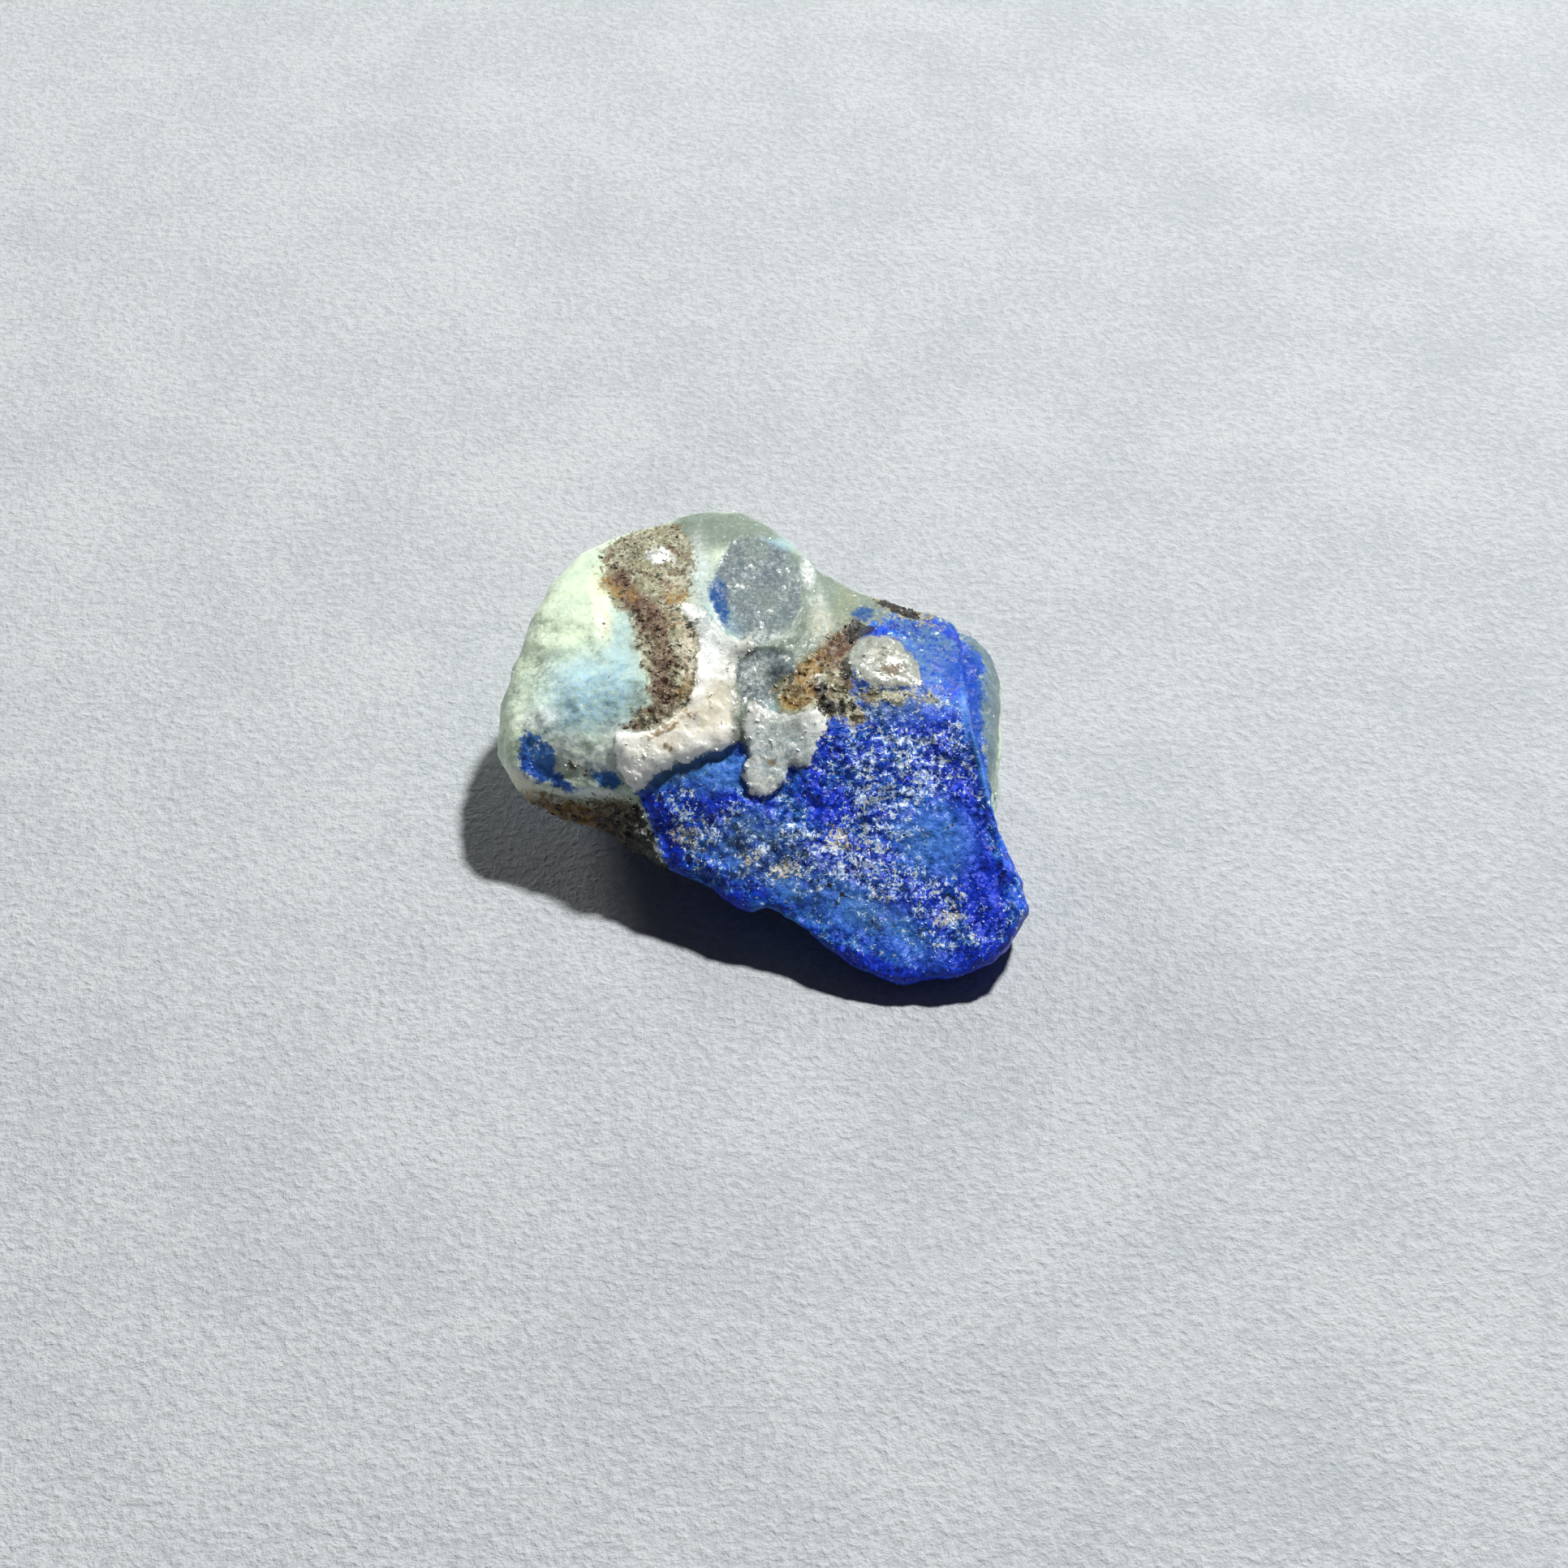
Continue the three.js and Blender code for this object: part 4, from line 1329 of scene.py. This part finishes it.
    def skin_colour(self, rock: RockGraph) -> Value:
        """Colours the smooth pale green stone round the other minerals.

        Args:
            rock: the material's nodes.

        Returns:
            The colour.
        """
        cloud = rock.cloud(0.8, 5.0, 0.62)
        fine = rock.cloud(4.2, 5.0, 0.7)
        moss = rock[Mark.MOSS]
        mossy = (moss * 0.95 + (cloud - 0.5) * 0.5).step(0.0, 1.0) * moss
        return rock.coated(
            rock.blend(cloud.step(0.36, 0.64), self.green_shade, self.green_skin),
            (rock[Mark.SKY] * fine.step(0.2, 0.62), self.sky),
            (mossy, self.green_rim),
            (rock[Mark.SLATE] * 0.85, self.slate),
            (fine.step(0.5, 0.3) * 0.16, self.green_dark),
            (fine.step(0.52, 0.72) * 0.25, self.frost_and_painted_light),
            # frosted white, partly painted light on the shoulder's front slope
            (rock[Mark.FROST_AND_PAINTED_LIGHT] * fine.step(0.28, 0.6), self.frost_and_painted_light),
            (rock[Mark.CREAM] * fine.step(0.3, 0.5) * 0.85, self.cream),
            (rock[Mark.GOLD] * fine.step(0.35, 0.6) * 0.8, self.olive),
            (rock.specks(3.4, 0.42) * 0.4, self.pore),
            (rock.specks(3.0, rock[Mark.GOLD] * 0.95) * 0.75, self.gold),
            (rock.specks(3.4, rock[Mark.UMBER] * 0.95) * 0.85, self.red_brown),
        )

    def glass_colour(self, rock: RockGraph) -> Value:
        """Colours the grey glassy patches.

        Args:
            rock: the material's nodes.

        Returns:
            The colour.
        """
        fine = rock.cloud(5.0, 4.0, 0.75)
        tone = rock.cloud(0.9, 4.0, 0.6).step(0.35, 0.68)
        return rock.coated(
            rock.blend(tone, self.glass_grey, self.glass_green),
            (fine.step(0.46, 0.7) * 0.5, self.glass_light),
            (fine.step(0.5, 0.3) * 0.22, self.glass_dark),
            (rock.specks(7.5, 0.52) * 0.3, self.frost_and_painted_light),
            (rock[Mark.SLATE] * 0.6, self.slate),
            (rock[Mark.FROST_AND_PAINTED_LIGHT] * fine.step(0.35, 0.6) * 0.7, self.frost_and_painted_light),
            (rock[Mark.SKY] * 0.8, self.sky),
        )

    def blue_colour(self, rock: RockGraph) -> Value:
        """Colours the blue rock with its haze, painted highlights, needles and tan clusters.

        Args:
            rock: the material's nodes.

        Returns:
            The colour.
        """
        haze_and_painted_light, slate, deep = rock[Mark.HAZE_AND_PAINTED_LIGHT], rock[Mark.SLATE], rock[Mark.DEEP]
        patch = rock.cloud(1.5, 5.0, 0.7)
        clump = rock.cloud(3.0, 3.0, 0.65)
        cells = rock.facets(4.2)["Tone"]
        depth = patch + cells * 0.06 + deep * -0.35 + (rock.cloud(0.55, 4.0, 0.6) - 0.5) * 0.6
        night = (clump + cells * -0.1).step(0.5, 0.32) * (haze_and_painted_light * 0.8 + deep * 0.5).rest() * 0.75
        amount = (
            rock[Mark.NEEDLES] * 0.8 + (patch - 0.5) * 4.0 + (clump - 0.5) * 3.0
            + haze_and_painted_light * -0.45 + slate * -0.2 + deep * -0.6 + 0.02
        )
        needles = rock.group(Effect.NEEDLES, Place=rock.at, Amount=amount)
        bright = rock.lerp(rock.cloud(5.0).step(0.36, 0.62), 0.38, 1.0)
        return rock.coated(
            rock.blend(depth.step(0.4, 0.6), self.deep_blue, self.mid_blue),
            (depth.step(0.56, 0.78), self.grey_blue),
            # the haze also lays painted highlight lines and a band of painted light under the calcite
            (haze_and_painted_light * patch.step(0.1, 0.46) * 0.92, self.periwinkle),
            # slate blue; its band under the calcite's front edge is painted light
            (slate * clump.step(0.25, 0.6) * 0.85, self.slate),
            (night, self.night_blue),
            (needles["Halo"] * 0.6, self.halo),
            (needles["Mask"] * bright, self.needle),
            (rock.specks(5.2, rock[Mark.TAN] * 0.98) * 0.8, self.tan),
            (rock.specks(3.0, rock[Mark.UMBER] * 0.9) * 0.8, self.brown),
            (rock.mark(Mark.AFGHANITE.value).step(0.45, 0.0) * 0.35, self.grey_blue),
        )

    def grit_colour(self, rock: RockGraph) -> Value:
        """Colours the crumbly grit and its rust stains.

        Args:
            rock: the material's nodes.

        Returns:
            The colour.
        """
        umber = rock[Mark.UMBER]
        fine = rock.cloud(3.4, 4.0, 0.7)
        blotch = rock.cloud(1.8, 4.0, 0.7) - 0.5
        light = (rock.facets(3.8)["Tone"] * 0.8 + fine).step(0.85, 1.3)
        gold = (rock[Mark.GOLD] * 0.95 + blotch * 3.0).step(0.25, 1.1)
        rust = (umber * 0.78 + (fine - 0.5) * 2.4 + blotch * -1.4).step(0.35, 1.05)
        pebbles = rock.facets(1.7)
        pits = pebbles["Seam"].step(0.12, 0.0) * pebbles["Tone"].step(0.35, 0.5)
        return rock.coated(
            rock.blend(rock.cloud(1.1, 4.0, 0.65).step(0.3, 0.52), self.brown, self.grit),
            (light * 0.6, self.grit_light),
            ((umber + blotch * 1.2).step(0.1, 0.9) * 0.7, self.brown),
            (gold * 0.85, self.gold),
            (rust * 0.85, self.red_brown),
            (pits * umber.step(0.1, 0.6) * 0.9, self.red_brown),
            (rock.specks(3.0, 0.5) * 0.6, self.red_brown),
            (rock[Mark.CREAM] * fine.step(0.3, 0.55) * 0.8, self.tan),
            ((rock[Mark.FROST_AND_PAINTED_LIGHT] + blotch * 1.6).step(0.3, 0.8) * 0.85, self.frost_and_painted_light),
        )

    def calcite_colour(self, rock: RockGraph) -> Value:
        """Colours the calcite crusts.

        Args:
            rock: the material's nodes.

        Returns:
            The colour.
        """
        sky = rock[Mark.SKY]
        cloud = rock.cloud(1.1, 5.0, 0.7)
        fine = rock.cloud(4.0, 4.0, 0.65)
        tone = rock.facets(1.7)["Tone"] * 0.3 + rock.facets(4.6)["Tone"] * 0.18 + cloud * 0.7
        ridges = rock.math("ABSOLUTE", rock.cloud(1.9, 4.0, 0.68, 0.7) - 0.5)
        stains = [
            (rock[mark].step(0.0, 0.4) * (rock[mark] + (fine - 0.5) * 2.6)).step(0.5, 1.0) * 0.75
            for mark in (Mark.GOLD, Mark.UMBER)
        ]
        return rock.coated(
            rock.blend(tone.step(0.3, 0.64), self.calcite_grey, self.white),
            (rock[Mark.CREAM] * cloud.step(0.25, 0.55) * 0.9, self.cream),
            (sky * 0.85, self.calcite_blue),
            (fine.step(0.5, 0.7) * 0.22, self.calcite_veil),
            (ridges.step(0.05, 0.0) * rock.lerp(sky, 0.55, 0.9), self.white),
            ((rock[Mark.MOSS] + 0.08) * cloud.step(0.15, 0.55) * 0.85, self.calcite_veil),
            *zip(stains, (self.gold, self.brown)),
        )

    def roughness(self, rock: RockGraph) -> Term:
        """Sets how dull each mineral is."""
        value = rock.by_mineral(0.44, 0.36, 0.46, 0.4, 0.26)
        return rock.math("ADD", value, (rock.cloud(6.0, 3.0, 0.6) - 0.5) * 1.1, clamp=True)

    def height(self, rock: RockGraph) -> Value:
        """Sets the fine relief of each mineral.

        Args:
            rock: the material's nodes.

        Returns:
            Its height in millimetres.
        """
        big, small = (rock.facets(scale)["Height"] for scale in (1.7, 5.0))
        grain = rock.cloud(7.0, 3.0, 0.65)
        soft = rock.cloud(2.5, 4.0, 0.6)
        blue = rock.lerp(rock[Mark.HAZE_AND_PAINTED_LIGHT] * 0.7, small * 0.62 + grain * 0.05, grain * 0.05)
        return rock.by_mineral(
            soft * 0.06 + grain * 0.02 + small * 0.26,
            soft * 0.03 + small * 0.36,
            blue,
            small * 0.7 + grain * 0.06,
            big * 0.2 + small * 0.16 + grain * 0.02,
        )


FINISHES = (
    RockFinish(),
    RockFinish("clear_rock", clear=0.7, clear_depth=0.6),
    RockFinish("calcite_crust", clear=0.8, clear_depth=0.7, gloss=0.6),
)


class CrystalShape(Enum):
    """The forms of small crystals."""

    GRAIN = "grain"
    BLOCK = "block"
    NEEDLE = "needle"


@dataclass
class CrystalCrop:
    """Many small crystals of one mineral, set into the stone and joined into one mesh.

    Sizes are half lengths in millimetres along, across and out of the surface. Crystals with an
    `aim` all face nearly the same way, whatever they sit on.
    """

    name: str
    mark: Mark
    shape: CrystalShape
    count: int
    smallest: tuple[float, float, float]
    largest: tuple[float, float, float]
    sink: float
    seed: int
    finish: RockFinish
    lean: float = 0.35
    jitter: float = 0.2
    inlay: float = 0.0
    forms: int = 8
    aim: tuple[float, float, float] | None = None

    def template(self, rng: np.random.Generator) -> tuple[np.ndarray, np.ndarray]:
        """Makes one crystal's form.

        Args:
            rng: the crop's own random numbers.

        Returns:
            Its corners and its triangles.
        """
        form = bmesh.new()
        if self.shape is CrystalShape.NEEDLE:
            bmesh.ops.create_cone(
                form, cap_ends=True, segments=4, radius1=1.0, radius2=0.5, depth=2.0
            )
            lay = Matrix.Rotation(math.pi / 2, 3, "Y")
            bmesh.ops.rotate(form, verts=form.verts, cent=(0, 0, 0), matrix=lay)
        elif self.shape is CrystalShape.BLOCK:
            bmesh.ops.create_cube(form, size=1.5)
            skew = Matrix(((1, 0.25, 0.1), (0, 1, 0.2), (0, 0, 1)))
            bmesh.ops.transform(form, verts=form.verts, matrix=skew.to_4x4())
        else:
            bmesh.ops.create_icosphere(form, subdivisions=1, radius=1.0)
        bmesh.ops.triangulate(form, faces=form.faces)
        bmesh.ops.recalc_face_normals(form, faces=form.faces)
        form.verts.index_update()
        corners = np.array([v.co[:] for v in form.verts])
        sides = np.array([[v.index for v in f.verts] for f in form.faces])
        form.free()
        return corners + rng.normal(0, self.jitter, corners.shape), sides

    def sites(self, stone: bpy.types.Object, body: StoneBody, rng: np.random.Generator) -> np.ndarray:
        """Chooses the faces that carry crystals.

        Args:
            stone: the finished stone.
            body: the stone's maker, which holds its marks.
            rng: the crop's own random numbers.

        Returns:
            The chosen faces' numbers.
        """
        area = np.zeros(len(stone.data.polygons))
        stone.data.polygons.foreach_get("area", area)
        corners = triangles_of(stone.data)
        marks = {mark: values[corners].mean(1) for mark, values in body.marks.items()}
        weight = area * self.likelihood(marks)
        return rng.choice(len(area), self.count, p=weight / weight.sum())

    def likelihood(self, marks: dict[Mark, np.ndarray]) -> np.ndarray:
        """Says how likely a crystal is at each face.

        Args:
            marks: the faces' mean marks.

        Returns:
            Likelihoods from 0 to 1.
        """
        calcite = within(marks[Mark.CALCITE], 0.08)
        if self.mark is Mark.CALCITE:
            return calcite
        if self.mark is Mark.RUST:
            return within(marks[Mark.RUST] - 0.1, 0.3) * (1 - calcite)
        if self.mark is Mark.GLINT:
            rust = within(marks[Mark.RUST] + 0.2, 0.5)
            return 0.03 + marks[Mark.GLINT] + 0.12 * rust + 0.3 * calcite + 0.05 * marks[Mark.MOSS]
        blue = within(marks[Mark.AFGHANITE] - 0.2, 0.2) * (1 - within(marks[Mark.CALCITE] + 0.2, 0.1))
        if self.mark is Mark.TAN:
            return blue * marks[Mark.TAN] ** 2
        return blue * (0.12 + marks[Mark.NEEDLES]) * (1 - 0.6 * marks[Mark.HAZE_AND_PAINTED_LIGHT])

    def build(self, stone: bpy.types.Object, body: StoneBody) -> bpy.types.Object:
        """Sets the crystals into the stone.

        Args:
            stone: the finished stone.
            body: the stone's maker.

        Returns:
            The joined crystals.
        """
        rng = np.random.default_rng(self.seed)
        faces = self.sites(stone, body, rng)
        forms = [self.template(rng) for _ in range(self.forms)]
        low, high = (np.array(corner) / MM for corner in CAD_BOX)
        corners: list[np.ndarray] = []
        sides: list[np.ndarray] = []
        tones: list[np.ndarray] = []
        carried: dict[Mark, list[np.ndarray]] = {mark: [] for mark in Mark}
        filled = 0
        for face in faces:
            polygon = stone.data.polygons[face]
            out = np.array(polygon.normal)
            share = rng.dirichlet((1, 1, 1))
            around = [stone.data.vertices[v].co for v in polygon.vertices]
            foot = sum(w * np.array(co) for w, co in zip(share, around)) / MM
            growth = (np.array(self.largest) - self.smallest) * rng.random() ** 2
            size = np.array(self.smallest) + growth
            out = np.array(self.aim or out) + rng.normal(0, self.lean, 3)
            out /= np.linalg.norm(out)
            along = np.cross(out, rng.normal(0, 1, 3))
            along /= np.linalg.norm(along)
            axes = np.array([along, np.cross(out, along), out])
            shape, triangles = forms[rng.integers(self.forms)]
            placed = (shape * size) @ axes + foot - np.array(polygon.normal) * size[2] * self.sink
            tone = rng.random()
            if (placed < low).any() or (placed > high).any():
                continue
            corners.append(placed)
            sides.append(triangles + filled)
            tones.append(np.full(len(placed), tone))
            nearest = polygon.vertices[int(np.argmax(share))]
            for mark, values in carried.items():
                inner = self.inlay if mark is self.mark else 0.0
                values.append(np.full(len(placed), body.marks[mark][nearest] + inner))
            filled += len(placed)
        mesh = bpy.data.meshes.new(self.name)
        mesh.from_pydata(np.concatenate(corners) * MM, [], np.concatenate(sides).tolist())
        write_layer(mesh, "tone", np.concatenate(tones))
        for mark, values in carried.items():
            write_layer(mesh, mark.value, np.concatenate(values))
        mesh.materials.append(self.finish.build())
        return put(self.name, mesh)


CROPS = (
    CrystalCrop(
        "blue_face_needles", Mark.NEEDLES, CrystalShape.NEEDLE, 2600,
        (0.03, 0.02, 0.015), (0.11, 0.045, 0.03), 0.35, 21,
        RockFinish("needle_crystal", clear=0.0, toned=True, polish=0.16, mid_blue=rgb(196, 206, 236),
                   deep_blue=rgb(160, 176, 228), grey_blue=rgb(206, 214, 232),
                   night_blue=rgb(120, 144, 206)),
    ),
    CrystalCrop(
        "tan_grains", Mark.TAN, CrystalShape.GRAIN, 420,
        (0.04, 0.03, 0.03), (0.14, 0.1, 0.07), 0.5, 22,
        RockFinish("tan_crystal", clear=0.0, toned=True, polish=0.3, mid_blue=rgb(204, 200, 184),
                   deep_blue=rgb(160, 156, 142), grey_blue=rgb(222, 218, 206),
                   night_blue=rgb(110, 104, 92), halo=rgb(190, 190, 184), needle=rgb(228, 226, 216)),
    ),
    CrystalCrop(
        "calcite_rhombs", Mark.CALCITE, CrystalShape.BLOCK, 380,
        (0.04, 0.035, 0.025), (0.15, 0.12, 0.07), 0.35, 23,
        RockFinish("calcite_crystal", clear=0.0, polish=0.2, gloss=0.6),
        lean=0.3, jitter=0.05, inlay=1.0,
    ),
    CrystalCrop(
        "grit_grains", Mark.RUST, CrystalShape.GRAIN, 1900,
        (0.06, 0.05, 0.03), (0.22, 0.18, 0.1), 0.55, 24,
        RockFinish("grit_crystal", clear=0.0, toned=True, polish=0.24, gloss=0.6),
        inlay=0.6,
    ),
    CrystalCrop(
        "quartz_glints", Mark.GLINT, CrystalShape.BLOCK, 560,
        (0.03, 0.025, 0.015), (0.1, 0.075, 0.035), 0.45, 25,
        RockFinish("quartz_glint", clear=0.0, polish=0.26, gloss=0.6, green_skin=rgb(232, 238, 234)),
        lean=0.1, jitter=0.0, aim=(0.214, -0.236, 0.948),
    ),
)


@dataclass(frozen=True)
class Studio:
    """The floor, the lights and the camera, in metres but for the camera's film."""

    floor_reach: float = 1.2
    key_from: tuple[float, float, float] = (0.347, 0.36, 0.866)
    key_distance: float = 0.6
    key_size: float = 0.055
    key_power: float = 6.65
    sky_strength: float = 0.05
    fill_from: tuple[float, float, float] = (-0.62, 0.72, 0.42)
    fill_power: float = 1.3
    fill_size: float = 0.15
    lamp_colour: tuple[float, float, float] = (1.0, 0.985, 0.95)
    sky_colour: tuple[float, float, float, float] = (0.86, 0.92, 1.0, 1.0)
    board_dark: tuple = rgb(160, 166, 171)
    board_light: tuple = rgb(175, 180, 185)
    board_roughness: float = 0.75
    board_relief: float = 0.3
    film_width: float = 36.0
    camera_sees: tuple[float, float] = (0.005, 10.0)  # the nearest and the farthest, in metres

    def build(self) -> None:
        """Makes everything that isn't the stone."""
        self.floor()
        self.light()
        self.camera()
        bpy.context.scene.view_settings.view_transform = "Standard"

    def floor(self) -> None:
        """Lays a pale board with a faint grain under the stone."""
        shape = bmesh.new()
        bmesh.ops.create_grid(shape, x_segments=1, y_segments=1, size=self.floor_reach)
        mesh = bpy.data.meshes.new("floor")
        shape.to_mesh(mesh)
        shape.free()
        mesh.materials.append(self.board())
        put("floor", mesh)

    def board(self) -> bpy.types.Material:
        """Makes the floor's finish.

        Returns:
            The material.
        """
        material = bpy.data.materials.new("pale_board")
        material.use_nodes = True
        graph = Graph(material.node_tree)
        shader = material.node_tree.nodes["Principled BSDF"].inputs
        place = graph.place(draw=1.0)
        grain = graph.noise(place, 2.4, 5.0, 0.65)
        tone = graph.noise(place, 0.12, 3.0, 0.6) * 0.3 + grain * 0.7
        shade = graph.blend(tone.step(0.4, 0.6), self.board_dark, self.board_light)
        bump = graph.add("ShaderNodeBump", {"Distance": MM, "Height": grain * self.board_relief})
        graph.feed(shader["Base Color"], shade)
        graph.feed(shader["Roughness"], self.board_roughness)
        graph.feed(shader["Normal"], bump.outputs[0])
        return material

    def lamp(self, name: str, source: tuple[float, float, float], size: float, power: float) -> None:
        """Hangs one round lamp that shines on the stone.

        Args:
            name: the lamp's name.
            source: the direction that it shines from.
            size: its width in metres.
            power: its power in watts.
        """
        data = bpy.data.lights.new(name, "AREA")
        data.shape = "DISK"
        data.size = size
        data.energy = power
        data.color = self.lamp_colour
        lamp = put(name, data)
        direction = Vector(source).normalized()
        lamp.location = direction * self.key_distance
        lamp.rotation_euler = direction.to_track_quat("Z", "Y").to_euler()

    def light(self) -> None:
        """Hangs a key light at the far right and a broad weak one at the left, and fills in."""
        self.lamp("key", self.key_from, self.key_size, self.key_power)
        self.lamp("fill", self.fill_from, self.fill_size, self.fill_power)
        world = bpy.data.worlds.new("studio")
        bpy.context.scene.world = world
        world.use_nodes = True
        sky = world.node_tree.nodes["Background"]
        sky.inputs["Color"].default_value = self.sky_colour
        sky.inputs["Strength"].default_value = self.sky_strength

    def camera(self) -> None:
        """Sets the camera at the show view."""
        data = bpy.data.cameras.new("show_camera")
        data.sensor_width = self.film_width
        data.lens = data.sensor_width / 2 * SHOW.distance / SHOW.half_width
        data.shift_x, data.shift_y = SHOW.shift
        data.clip_start, data.clip_end = self.camera_sees
        camera = put("show_camera", data)
        turn = np.column_stack([(1.0, 0.0, 0.0), SHOW.upwards, SHOW.towards])
        camera.matrix_world = Matrix.Translation(SHOW.eye * MM) @ Matrix(turn.tolist()).to_4x4()
        bpy.context.scene.camera = camera


def hand_in(piece: bpy.types.Object) -> None:
    """Ties a finished piece to the root body, hides the CAD stone's part and reports the piece.

    Args:
        piece: the finished object.
    """
    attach(piece, "root")
    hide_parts(STONE_NODE)
    LOG.info("%s: %d faces", piece.name, len(piece.data.polygons))


def main() -> None:
    """Builds the stone, its small crystals and the studio."""
    logging.basicConfig(level=logging.INFO, format="%(message)s")
    noise.seed_set(NOISE_SEED)
    SharedEffects().build()
    body = StoneBody()
    stone = body.build()
    body.dress(stone)
    hand_in(stone)
    for crop in CROPS:
        hand_in(crop.build(stone, body))
    Studio().build()


if __name__ == "__main__":
    main()
